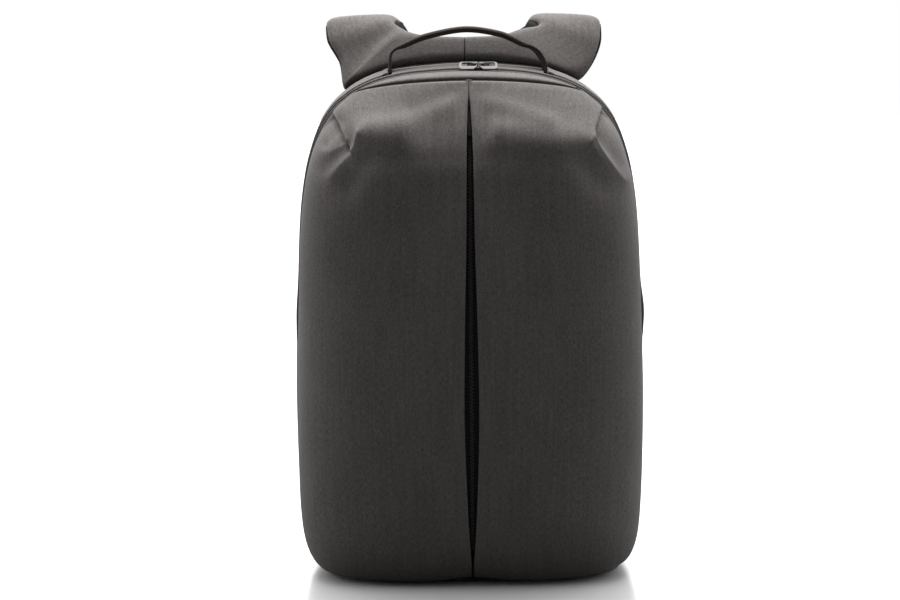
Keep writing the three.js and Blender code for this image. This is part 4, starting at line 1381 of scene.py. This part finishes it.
@dataclass
class Gussets:
    """The cloth behind the zip: two sides up to the handle's feet, and a recessed strip between them."""

    shape: BagShape
    finishes: Finishes
    start_share: float = 0.162
    low_share: float = 0.014
    mid_share: float = 0.5
    zip_end: tuple[float, float] = (5.50, 5.55)
    foot_x: float = 66.8
    foot_slot: float = 4.0
    foot_lift: float = 1.4
    foot_reach: float = 4.0
    bead: float = 0.9
    bead_place: float = 1.6
    bead_reach: float = 2.0
    rim_dip: float = 1.2
    rim_reach: float = 2.2
    recess: float = 1.0
    strip_bead: float = 0.5
    strip_reach: float = 1.8
    strip_rows: int = 90
    wall: float = 2.2
    rows: int = 260
    columns: int = 30
    column_power: float = 1.2
    fine_steps: int = 2000

    def shaped(self, points: Array, lift: Array) -> Array:
        """Points lifted out of the bag."""
        lifted = points - toward_core(points) * lift[..., None]
        lifted[..., 2] = np.maximum(lifted[..., 2], 0)
        return lifted

    def side(self, side: Side) -> Array:
        """One side's grid of points, from the floor to the handle's foot."""
        top = self.shape.station_at(self.shape.rim_x, self.foot_x + self.foot_slot / 2)
        fine = np.linspace(0, top, self.fine_steps)
        q = evenly(fine, run_length(self.shape.gusset(fine, self.mid_share, side), 0), self.rows)
        start = part_way(self.low_share, self.start_share, smooth(*self.zip_end, q))
        way = np.linspace(0, 1, self.columns)[None] ** self.column_power
        share = part_way(start[:, None], 1, way)
        points = self.shape.gusset(q[:, None] + 0 * share, share, side)
        from_zip = run_length(points, 1)
        from_rim = from_zip[:, -1:] - from_zip
        from_foot = run_length(points[::-1], 0)[::-1]
        lift = self.bead * bell(from_zip - self.bead_place, self.bead_reach)
        lift = lift - self.rim_dip * bell(from_rim, self.rim_reach)
        lift = lift + self.foot_lift * bell(from_foot, self.foot_reach)
        return self.shaped(points, lift)

    def top(self) -> Array:
        """The top strip's grid of points, from the left foot to the right."""
        foot = self.shape.station_at(self.shape.rim_x, self.foot_x - self.foot_slot / 2)
        q = np.linspace(foot, 2 * TOP_CENTRE - foot, self.strip_rows)[:, None]
        share = np.linspace(self.start_share, 1, self.columns)[None]
        points = self.shape.over_top(q + 0 * share, share + 0 * q)
        near_zip = bell(run_length(points, 1) - self.bead_place, self.strip_reach)
        return self.shaped(points, self.strip_bead * near_zip - self.recess)

    def build(self) -> None:
        """Makes the sides and the top strip."""
        pieces = [(f"side_cloth_{side.word}", self.side(side), f"side_gusset_{side.word}") for side in Side]
        pieces.append(("top_strip_cloth", self.top(), "top_gusset"))
        for name, points, node in pieces:
            obj = cloth_piece(name, points, self.wall, self.finishes.cloth, "cloth", node)
            size = flat_size(points)


@dataclass
class BackAndBase:
    """The padded back that the straps are sewn to, and the flat base."""

    shape: BagShape
    finishes: Finishes
    front_y: float = 62.0
    rear_y: float = 71.0
    edge_round: float = 3.2
    crown: float = 2.2
    spine: tuple[float, float] = (150, 330)
    around: int = 220
    floor_steps: int = 40
    round_rows: int = 7
    flat_rows: int = 14
    fine_steps: int = 3000
    base_thick: float = 3.0
    base_inset: float = 2.0
    base_rows: int = 60
    base_columns: int = 80

    def back_outline(self) -> Array:
        """Points round the back's edge, as x and z."""
        fine = np.linspace(0, TOP_CENTRE, self.fine_steps)
        line = np.stack((self.shape.rim_x(fine), self.shape.rim_z(fine)), axis=-1)
        q = evenly(fine, run_length(line, 0), self.around // 2)
        half = np.stack((self.shape.rim_x(q), self.shape.rim_z(q)), axis=-1)
        floor_x = np.linspace(-half[0, 0], half[0, 0], self.floor_steps)[1:-1]
        floor = np.stack((floor_x, np.zeros_like(floor_x)), axis=-1)
        return np.concatenate((half, (half * np.array((-1, 1)))[-2::-1], floor, half[:1]))

    def build_back(self) -> None:
        """Makes the back pad: flat towards the bag, crowned and rounded towards the wearer."""
        edge = self.back_outline()
        spine = np.stack((np.zeros(len(edge)), np.clip(edge[:, 1], *self.spine)), axis=-1)
        reach = np.linalg.norm(edge - spine, axis=-1, keepdims=True)
        deep, bend = self.rear_y - self.front_y, self.edge_round
        shares = np.linspace(0, 1, self.flat_rows)
        turns = np.linspace(0, math.pi / 2, self.round_rows)
        profile = [(f, 0.0, 0.0, 0.0) for f in shares]
        profile += [(1.0, deep - bend * (1 - math.sin(a)), bend * (1 - math.cos(a)), 0.0) for a in turns]
        profile += [(f, deep, bend * f, self.crown * (1 - f**2)) for f in shares[-2::-1]]
        rows = []
        for share, depth, inset, crown in profile:
            flat = part_way(spine, edge, np.maximum(0, share - inset / reach))
            y = np.full(len(edge), self.front_y + depth + crown)
            rows.append(np.stack((flat[:, 0], y, flat[:, 1]), axis=-1))
        points = np.stack(rows)
        run = run_length(points, 0)
        uv = spine + (edge - spine) / reach * (run[-1] - run)[..., None]
        obj = grid_piece("back_pad", points, uv * MM, closed=True)
        hand_over(obj, self.finishes.mesh, "mesh", ["back_panel"])

    def build_base(self) -> None:
        """Makes the base sheet, level on the floor."""
        angle = np.linspace(0, math.pi / 2, self.base_rows)
        front = self.shape.section(np.zeros_like(angle), angle, Side.RIGHT)
        front[:, 2] = 0
        front += unit(np.array((0, float(self.shape.seam_y(0)), 0)) - front) * self.base_inset
        front[0, 0] = 0
        rear_y = self.shape.rim_y - self.shape.seam_gap / 2
        half = np.concatenate((front, [(float(self.shape.seam_x(0)) - self.base_inset, rear_y, 0)]))
        y = np.linspace(half[0, 1], rear_y, self.base_rows)
        x = np.interp(y, half[:, 1], half[:, 0])
        across = np.linspace(-1, 1, self.base_columns)[None] * x[:, None]
        level = np.full((1, 1), self.base_thick)
        points = np.stack(np.broadcast_arrays(across, y[:, None], level), axis=-1)
        obj = grid_piece("base_cloth", points, points[..., :2] * MM)
        finish_modifier(obj, "SOLIDIFY", thickness=self.base_thick * MM, offset=1.0)
        hand_over(obj, self.finishes.dark_cloth, "dark_cloth", ["base_panel"])


# Handle and straps


@dataclass
class CarryHandle:
    """Webbing that rises from two feet on the top and is rolled into a grip between them."""

    finishes: Finishes
    depth_y: float = 39.0
    square: float = 2.8
    around: int = 36
    rows: int = 170
    fine_steps: int = 2000
    near_step: float = 0.05
    path: Table = Table(
        ("x", "z", "thick", "width", "twist"),
        (
            (-66.8, 425.5, 2.8, 22, 0),
            (-66.7, 438, 2.8, 22, 0),
            (-65.6, 443.6, 2.8, 21, 0),
            (-61.5, 448, 3.4, 19, 0),
            (-54.5, 450.6, 4.8, 15, 0),
            (-35, 458.2, 5.4, 14, 0),
            (-1, 464, 5.4, 14, 0),
            (27, 460, 5.4, 14, 0),
            (47, 451.4, 5, 15, 0),
            (55, 448.3, 3.6, 19, 5),
            (60.8, 443.4, 2.8, 21, 9),
            (66.3, 432.6, 2.8, 22, 6),
            (66.8, 425.5, 2.8, 22, 0),
        ),
    )

    def build(self) -> None:
        """Makes the handle."""
        x, z, thick, width, twist = (self.path.run(name) for name in self.path.names)
        fine = np.linspace(0, self.path.last, self.fine_steps)
        t = evenly(fine, run_length(np.stack((x(fine), z(fine)), axis=-1), 0), self.rows)
        a, b = np.maximum(0, t - self.near_step), np.minimum(self.path.last, t + self.near_step)
        along = unit(np.stack((x(b) - x(a), 0 * t, z(b) - z(a)), axis=-1))
        up0 = np.stack((-along[:, 2], 0 * t, along[:, 0]), axis=-1)
        wide0 = np.tile(np.array((0.0, 1.0, 0.0)), (len(t), 1))
        turn = np.radians(twist(t))[:, None]
        up = up0 * np.cos(turn) + wide0 * np.sin(turn)
        wide = wide0 * np.cos(turn) - up0 * np.sin(turn)
        angle = np.linspace(0, 2 * math.pi, self.around + 1)
        c, s = (np.sign(way) * np.abs(way) ** (2 / self.square) for way in (np.cos(angle), np.sin(angle)))
        middle = np.stack((x(t), np.full_like(t, self.depth_y), z(t)), axis=-1)
        points = (middle[:, None] + wide[:, None] * (c * (width(t)[:, None] / 2))[..., None]
                  + up[:, None] * (s * (thick(t)[:, None] / 2))[..., None])
        ends = [np.repeat(middle[i][None, None], self.around + 1, axis=1) for i in (0, -1)]
        points = np.concatenate((ends[0], points, ends[1]))
        length = run_length(points, 0)[:, :1] + 0 * points[..., 0]
        obj = grid_piece("handle_webbing", points, np.stack((run_length(points, 1), length), axis=-1) * MM,
                         closed=True)
        hand_over(obj, self.finishes.handle, "webbing", ["carry_handle"])


STRAP_ROWS = Table(
    ("in_x", "in_y", "in_z", "out_x", "out_y", "out_z", "pad", "lean"),
    (
        (0.5, 76, 456.5, 0.5, 68.5, 437, 6, -2),
        (28, 76.5, 457.6, 42, 68.5, 435, 6, -3),
        (44, 78.5, 460.5, 78, 68.5, 428, 6.5, -4),
        (49.5, 82, 462.5, 100.5, 70, 416, 7, -4.8),
        (57, 87, 467, 111, 81, 437, 7, 0),
        (59.5, 93, 470, 119, 91, 456, 7, -2),
        (58.5, 104, 470.5, 120.5, 103, 467.6, 7.5, -2.6),
        (54, 116, 466, 119, 116, 466, 7.5, -1),
        (47, 127.5, 450, 108, 128.5, 448, 7.5, 0),
        (43, 135, 418, 98, 136, 416, 7.5, 0),
        (42, 140, 368, 96, 141, 366, 7.5, 0),
        (46, 138, 310, 96, 139, 308, 7.5, 0),
        (57, 131, 254, 98, 132, 252, 7.2, 0),
        (67, 121, 206, 100.5, 122, 205, 7, 0),
        (74, 110, 166, 102, 110, 166, 6.2, 0),
    ),
)


@dataclass
class ShoulderStraps:
    """The padded straps, each with its half of the yoke, and the spacer mesh under them."""

    shape: BagShape
    finishes: Finishes
    sewn_rows: int = 3
    seat_gap: float = -0.6
    seam_close: float = 0.56
    seam_fade: float = 0.3
    sewn_round: float = 0.34
    sewn_round_end: float = 0.1
    round_rows: tuple[float, float] = (0.8, 2.2)
    thin_rows: tuple[float, float] = (1.4, 2.6)
    leave_soft: float = 0.9
    leave_reach: float = 1.3
    leave_across: tuple[float, float] = (0.3, 1.0)
    leave_steps: tuple[tuple[float, int], ...] = ((-1.0, 1), (-0.5, 2), (0.0, 3), (0.5, 2), (1.0, 1))
    ridge: float = 1.4
    ridge_row: float = 2.75
    ridge_rows: float = 0.45
    ridge_across: tuple[float, float] = (0.02, 0.3)
    hollow: float = 2.4
    hollow_row: float = 3.8
    hollow_rows: float = 0.6
    hollow_place: float = 0.6
    hollow_wide: float = 0.4
    hollow_right: float = 0.4
    split: float = 0.2
    lining: float = 3.0
    pad_edge: float = 0.86
    edge_power: float = 7.0
    edge_full: float = 2.2
    mesh_wide: float = 0.06
    mesh_outer: float = 0.5
    mesh_row: float = 4.7
    mesh_rows: float = 1.1
    mesh_bare: tuple[float, float] = (0.05, 0.1)
    bare_row: float = 4.4
    bare_rows: float = 0.75
    ease_rows: float = 0.7
    ease_passes: tuple[int, int] = (3, 24)
    seam_round: float = 1.2
    end_round: float = 4.0
    rows: int = 220
    across: int = 34
    fine_steps: int = 3000
    crowd_reach: float = 6.0
    crowd: float = 4.0
    step_across: float = 0.02
    step_along: float = 0.1

    def middle(self, u: Array, t: Array, side: Side) -> Array:
        """Points of a strap's middle surface as drawn, evened out where the strap leaves the rim.

        Args:
            u: Place across the strap, from its inner edge at 0 to its outer edge at 1.
            t: Row number.
            side: The strap.

        Returns:
            The points, given as for the right strap.
        """
        near = bell(t - self.sewn_rows, self.leave_reach)
        near = near * (1 - smooth(*self.leave_across, u))
        drawn = []
        for step, weight in self.leave_steps:
            row = np.clip(t + step * self.leave_soft * near, 0, STRAP_ROWS.last)
            drawn.append(weight * self.drawn(u, row, side))
        return sum(drawn) / sum(weight for _, weight in self.leave_steps)

    def drawn(self, u: Array, t: Array, side: Side) -> Array:
        """Points of a strap's middle surface as its table gives them, as for the right strap.

        Args:
            u: Place across the strap, from its inner edge at 0 to its outer edge at 1.
            t: Row number.
            side: The strap, because both lean a little to the same side.

        Returns:
            The points.
        """
        read = {name: STRAP_ROWS.run(name)(t) for name in STRAP_ROWS.names}
        inner = np.stack([read["in_" + k] for k in "xyz"], axis=-1)
        outer = np.stack([read["out_" + k] for k in "xyz"], axis=-1)
        shift = side.value * read["lean"] - self.seam_close * bell(t, self.seam_fade)
        inner[..., 0] += shift
        outer[..., 0] += shift
        leave = np.array(float(self.sewn_rows))
        leave_x = STRAP_ROWS.run("out_x")(leave) + side.value * STRAP_ROWS.run("lean")(leave)
        lift = (self.seat(leave_x) - STRAP_ROWS.run("out_z")(leave)) * (1 - smooth(leave, leave + 1, t))
        outer[..., 2] = np.where(t <= leave, self.seat(outer[..., 0]), outer[..., 2] + lift)
        return inner * (1 - u[..., None]) + outer * u[..., None]

    def seat(self, x: Array) -> Array:
        """Heights at which the yoke sits on the rim, at places across the bag."""
        return self.shape.rim_z(self.shape.station_at(self.shape.rim_x, np.abs(x))) + self.seat_gap

    def normal(self, u: Array, t: Array, side: Side) -> Array:
        """Unit directions out of the strap's upper side."""
        before, after = np.maximum(0, t - self.step_along), np.minimum(STRAP_ROWS.last, t + self.step_along)
        across = self.middle(u + self.step_across, t, side) - self.middle(u - self.step_across, t, side)
        along = self.middle(u, after, side) - self.middle(u, before, side)
        return unit(np.cross(across, along))

    def turned_under(self, u: Array, t: Array) -> Array:
        """How much of its thickness the yoke keeps near the rim that it is sewn to."""
        deep = part_way(self.sewn_round, self.sewn_round_end, smooth(*self.round_rows, t))
        near = np.clip((u - 1) / deep + 1, 0, 1)
        return 1 - (1 - np.sqrt(1 - near**2)) * (1 - smooth(*self.thin_rows, t))

    def stations(self) -> Array:
        """Row numbers at even lengths along the strap, closer together at its ends."""
        fine = np.linspace(0, STRAP_ROWS.last, self.fine_steps)
        length = run_length(self.middle(np.full_like(fine, 0.5), fine, Side.RIGHT), 0)
        near_end = np.exp(-length / self.crowd_reach) + np.exp(-(length[-1] - length) / self.crowd_reach)
        step = np.diff(length, prepend=0) * (1 + self.crowd * near_end)
        return evenly(fine, np.cumsum(step), self.rows)

    def layer(self, upper: bool, side: Side) -> tuple[Array, Array]:
        """One layer of a strap as a tube of points.

        Args:
            upper: The padded cloth above, or the mesh below.
            side: The strap.

        Returns:
            Rows of points that close on themselves, and their places on the flat cloth.
        """
        t = self.stations()
        f = np.linspace(0, math.pi, self.across)
        u_top = 0.5 - 0.5 * np.cos(f)
        u = np.concatenate((u_top, u_top[-2::-1]))
        is_top = np.concatenate((np.ones(self.across), np.zeros(self.across - 1)))
        grid_u, grid_t = np.meshgrid(u, t)
        if upper:
            bare = bell(grid_t - self.bare_row, self.bare_rows)
            grid_u = grid_u + self.mesh_bare[side is Side.RIGHT] * bare * (1 - grid_u)
        else:
            seen = bell(grid_t - self.mesh_row, self.mesh_rows)
            grid_u = grid_u + self.mesh_wide * seen * (self.mesh_outer * grid_u - (1 - grid_u))
        middle, normal = self.middle(grid_u, grid_t, side), self.normal(grid_u, grid_t, side)
        length = run_length(self.middle(np.full_like(t, 0.5), t, side), 0)
        near = np.minimum(np.minimum(length / self.seam_round, (length[-1] - length) / self.end_round), 1)
        ends = np.sqrt(np.clip(1 - (1 - near) ** 2, 0, 1))[:, None]
        full = (1 - np.abs(2 * u[None] - 1) ** self.edge_power) ** (1 / self.edge_full) + 0 * grid_t
        if upper:
            round_over = part_way(self.pad_edge, 1, 1 - (2 * grid_u - 1) ** 2)
            thick = STRAP_ROWS.run("pad")(t)[:, None] * full * round_over
            thick = thick + self.drape(grid_u, grid_t, side) * full
            thick = thick * ends * self.turned_under(grid_u, grid_t)
            offset = self.split + thick * is_top[None]
        else:
            offset = -self.split - self.lining * full * ends * is_top[None]
        points = (middle + normal * offset[..., None]) * np.array((side.value, 1, 1))
        if upper:
            points = self.eased(points, grid_t, is_top[None] * full, self.ease_passes[side is Side.RIGHT])
        return points, np.stack((run_length(points, 1), length[:, None] + 0 * grid_u), axis=-1) * MM

    def eased(self, points: Array, t: Array, share: Array, passes: int) -> Array:
        """Evens the cloth along the strap where it leaves the rim, so that no hard crease is left.

        Args:
            points: Rows of points along the strap.
            t: Their row numbers.
            share: How much each point may move, from 0 to 1.
            passes: How often the points are evened.

        Returns:
            The evened points.
        """
        near = (share * bell(t - self.sewn_rows, self.ease_rows))[1:-1, :, None]
        for _ in range(passes):
            between, inner = (points[:-2] + points[2:]) / 2, points[1:-1]
            points = np.concatenate((points[:1], inner + near * (between - inner) / 2, points[-1:]))
        return points

    def drape(self, u: Array, t: Array, side: Side) -> Array:
        """How far the cloth of the upper side rises in a soft ridge and sinks in a hollow beside it."""
        along = bell(t - self.hollow_row, self.hollow_rows)
        hollow = -self.hollow * along * bell(u - self.hollow_place, self.hollow_wide)
        if side is Side.RIGHT:
            return self.hollow_right * hollow
        along = bell(t - self.ridge_row, self.ridge_rows)
        return self.ridge * along * smooth(*self.ridge_across, u) + hollow

    def build(self) -> None:
        """Makes both straps and their linings."""
        for upper, part, node, finish, slot in (
            (True, "strap_pad", "strap", self.finishes.cloth, "cloth"),
            (False, "strap_mesh", "strap_lining", self.finishes.mesh, "mesh"),
        ):
            for side in Side:
                points, uv = self.layer(upper, side)
                obj = grid_piece(f"{part}_{side.word}", points, uv, closed=True)
                hand_over(obj, finish, slot, [f"{node}_{side.word}"])


@dataclass
class LowerStraps:
    """The adjusters under the straps and the webbing that runs through them to the bag's lower corners."""

    finishes: Finishes
    lock_round: float = 0.7
    web_round: float = 0.45
    edge_faces: int = 3
    sharp: float = 50.0
    soft: float = 45.0

    def build(self) -> None:
        """Makes both adjusters and both lengths of webbing."""
        for side in Side:
            for node, name, radius, finish, slot in (
                ("ladder_lock", "adjuster", self.lock_round, self.finishes.plastic, "plastic"),
                ("strap_webbing", "lower_webbing", self.web_round, self.finishes.webbing, "webbing"),
            ):
                node = f"{node}_{side.word}"
                obj = rounded_copy(node, f"{name}_{side.word}", radius, self.edge_faces, self.sharp,
                                   self.soft)
                hand_over(obj, finish, slot, [node])


# Studio


@dataclass
class Studio:
    """A pale floor, soft light from above, and the camera at the photograph's angle."""

    image: tuple[int, int] = (900, 600)
    azimuth: float = -0.8
    roll: float = -0.4
    elevation: float = 6.5
    distance: float = 2.3
    aim: tuple[float, float, float] = (0.0, 0.0, 0.225)
    mm_per_pixel: float = 0.867
    centre_px: tuple[float, float] = (469.3, 306.5)
    sensor: float = 36.0
    front_fill: float = 0.16
    back_fill: float = 2.0
    fill_turn: tuple[float, float] = (-0.75, 0.3)
    lamp_place: tuple[float, float, float] = (0.0, 0.045, 0.78)
    lamp_aim: tuple[float, float, float] = (0.0, 0.045, 0.4)
    lamp_size: tuple[float, float] = (0.7, 0.2)
    lamp_watts: float = 4.2
    sun_lean: float = -26.0
    sun_wide: float = 40.0
    sun_strength: float = 2.2
    floor_size: float = 14.0
    floor_place: tuple[float, float, float] = (0, 2, -0.0004)
    floor_tone: tuple[float, ...] = (0.85, 0.85, 0.85, 1)
    floor_unseen: tuple[float, ...] = (0.15, 0.15, 0.15, 1)
    floor_rough: float = 0.8
    floor_shine: float = 0.44
    floor_gloss: float = 0.2

    def camera(self) -> None:
        """Sets the camera; its shift only moves the bag to its place in the picture."""
        data = bpy.data.cameras.new("camera")
        cam = bpy.data.objects.new("camera", data)
        bpy.context.scene.collection.objects.link(cam)
        a, e = math.radians(self.azimuth), math.radians(self.elevation)
        back = Vector((math.sin(a) * math.cos(e), -math.cos(a) * math.cos(e), math.sin(e)))
        cam.location = Vector(self.aim) + back * self.distance
        level = (-back).to_track_quat("-Z", "Y")
        cam.rotation_euler = (level @ Quaternion((0, 0, 1), math.radians(self.roll))).to_euler()
        wide, high = self.image
        data.sensor_width = self.sensor
        data.lens = self.sensor * self.distance / (wide * self.mm_per_pixel * MM)
        data.shift_x = -(self.centre_px[0] - wide / 2) / wide
        data.shift_y = (self.centre_px[1] - high / 2) / wide
        bpy.context.scene.camera = cam

    def floor(self) -> None:
        """Lays the pale floor, which lights the bag less than it shows."""
        deselect()
        bpy.ops.mesh.primitive_plane_add(size=self.floor_size, location=self.floor_place)
        plane = bpy.context.object
        plane.name = "floor"
        bpy.ops.object.transform_apply(location=True)
        material, sketch, shader = new_material("pale_floor")
        sketch.lead(shader, {"Base Color": self.floor_tone, "Roughness": self.floor_rough})
        gloss = sketch.node("ShaderNodeBsdfAnisotropic", {"Color": WHITE, "Roughness": self.floor_gloss})
        shiny = sketch.node("ShaderNodeMixShader", {0: self.floor_shine, 1: shader.outputs[0],
                                                    2: gloss.outputs[0]})
        dim = sketch.node("ShaderNodeBsdfDiffuse", {"Color": self.floor_unseen})
        seen = self.seen_or_not(sketch, shiny, dim)
        sketch.lead(sketch.tree.nodes["Material Output"], {0: seen})
        plane.data.materials.append(material)

    def seen_or_not(self, sketch: Sketch, seen: Node, unseen: Node) -> NodeSocket:
        """One shader for what the camera sees straight on, and another for the light that it gives."""
        straight = sketch.node("ShaderNodeLightPath").outputs["Is Camera Ray"]
        wanted = {0: straight, 1: unseen.outputs[0], 2: seen.outputs[0]}
        return sketch.node("ShaderNodeMixShader", wanted).outputs[0]

    def hang(self, data: Light) -> Object:
        """Adds one light that no polished piece mirrors, and gives its object."""
        lamp = bpy.data.objects.new(data.name, data)
        lamp.visible_glossy = False
        bpy.context.scene.collection.objects.link(lamp)
        return lamp

    def light(self) -> None:
        """Sets the white surroundings and the lights."""
        world = bpy.data.worlds.new("surroundings")
        world.use_nodes = True
        sketch = Sketch(world.node_tree)
        world.node_tree.nodes.clear()
        seen = sketch.node("ShaderNodeBackground", {"Color": WHITE, "Strength": 1.0})
        around = sketch.node("ShaderNodeTexCoord").outputs["Generated"]
        ahead = sketch.node("ShaderNodeSeparateXYZ", {0: around}).outputs[1]
        strength = sketch.spread(ahead, *self.fill_turn, self.front_fill, self.back_fill)
        fill = sketch.node("ShaderNodeBackground", {"Color": WHITE, "Strength": strength})
        sketch.node("ShaderNodeOutputWorld", {0: self.seen_or_not(sketch, seen, fill)})
        bpy.context.scene.world = world
        data = bpy.data.lights.new("overhead", "AREA")
        data.shape = "RECTANGLE"
        data.size, data.size_y = self.lamp_size
        data.energy = self.lamp_watts
        lamp = self.hang(data)
        lamp.location = self.lamp_place
        way = Vector(self.lamp_aim) - Vector(self.lamp_place)
        lamp.rotation_euler = way.to_track_quat("-Z", "Y").to_euler()
        data = bpy.data.lights.new("floor_light", "SUN")
        data.energy = self.sun_strength
        data.angle = math.radians(self.sun_wide)
        self.hang(data).rotation_euler = (math.radians(self.sun_lean), 0, 0)
        bpy.context.scene.view_settings.view_transform = "Standard"

    def build(self) -> None:
        """Sets the whole studio."""
        self.camera()
        self.floor()
        self.light()


def main() -> None:
    """Builds the bag piece by piece, then the studio."""
    logging.basicConfig(level=logging.INFO, format="%(name)s: %(message)s")
    shape, finishes = BagShape(), Finishes()
    back = BackAndBase(shape, finishes)
    Studio().build()
    FrontPanels(shape, finishes).build()
    TopBand(shape, finishes).build()
    MainZip(shape, finishes).build()
    FrontZip(shape, finishes).build()
    ZipHardware(finishes).build()
    Gussets(shape, finishes).build()
    back.build_back()
    back.build_base()
    CarryHandle(finishes).build()
    ShoulderStraps(shape, finishes).build()
    LowerStraps(finishes).build()
    deselect()


if __name__ == "__main__":
    main()
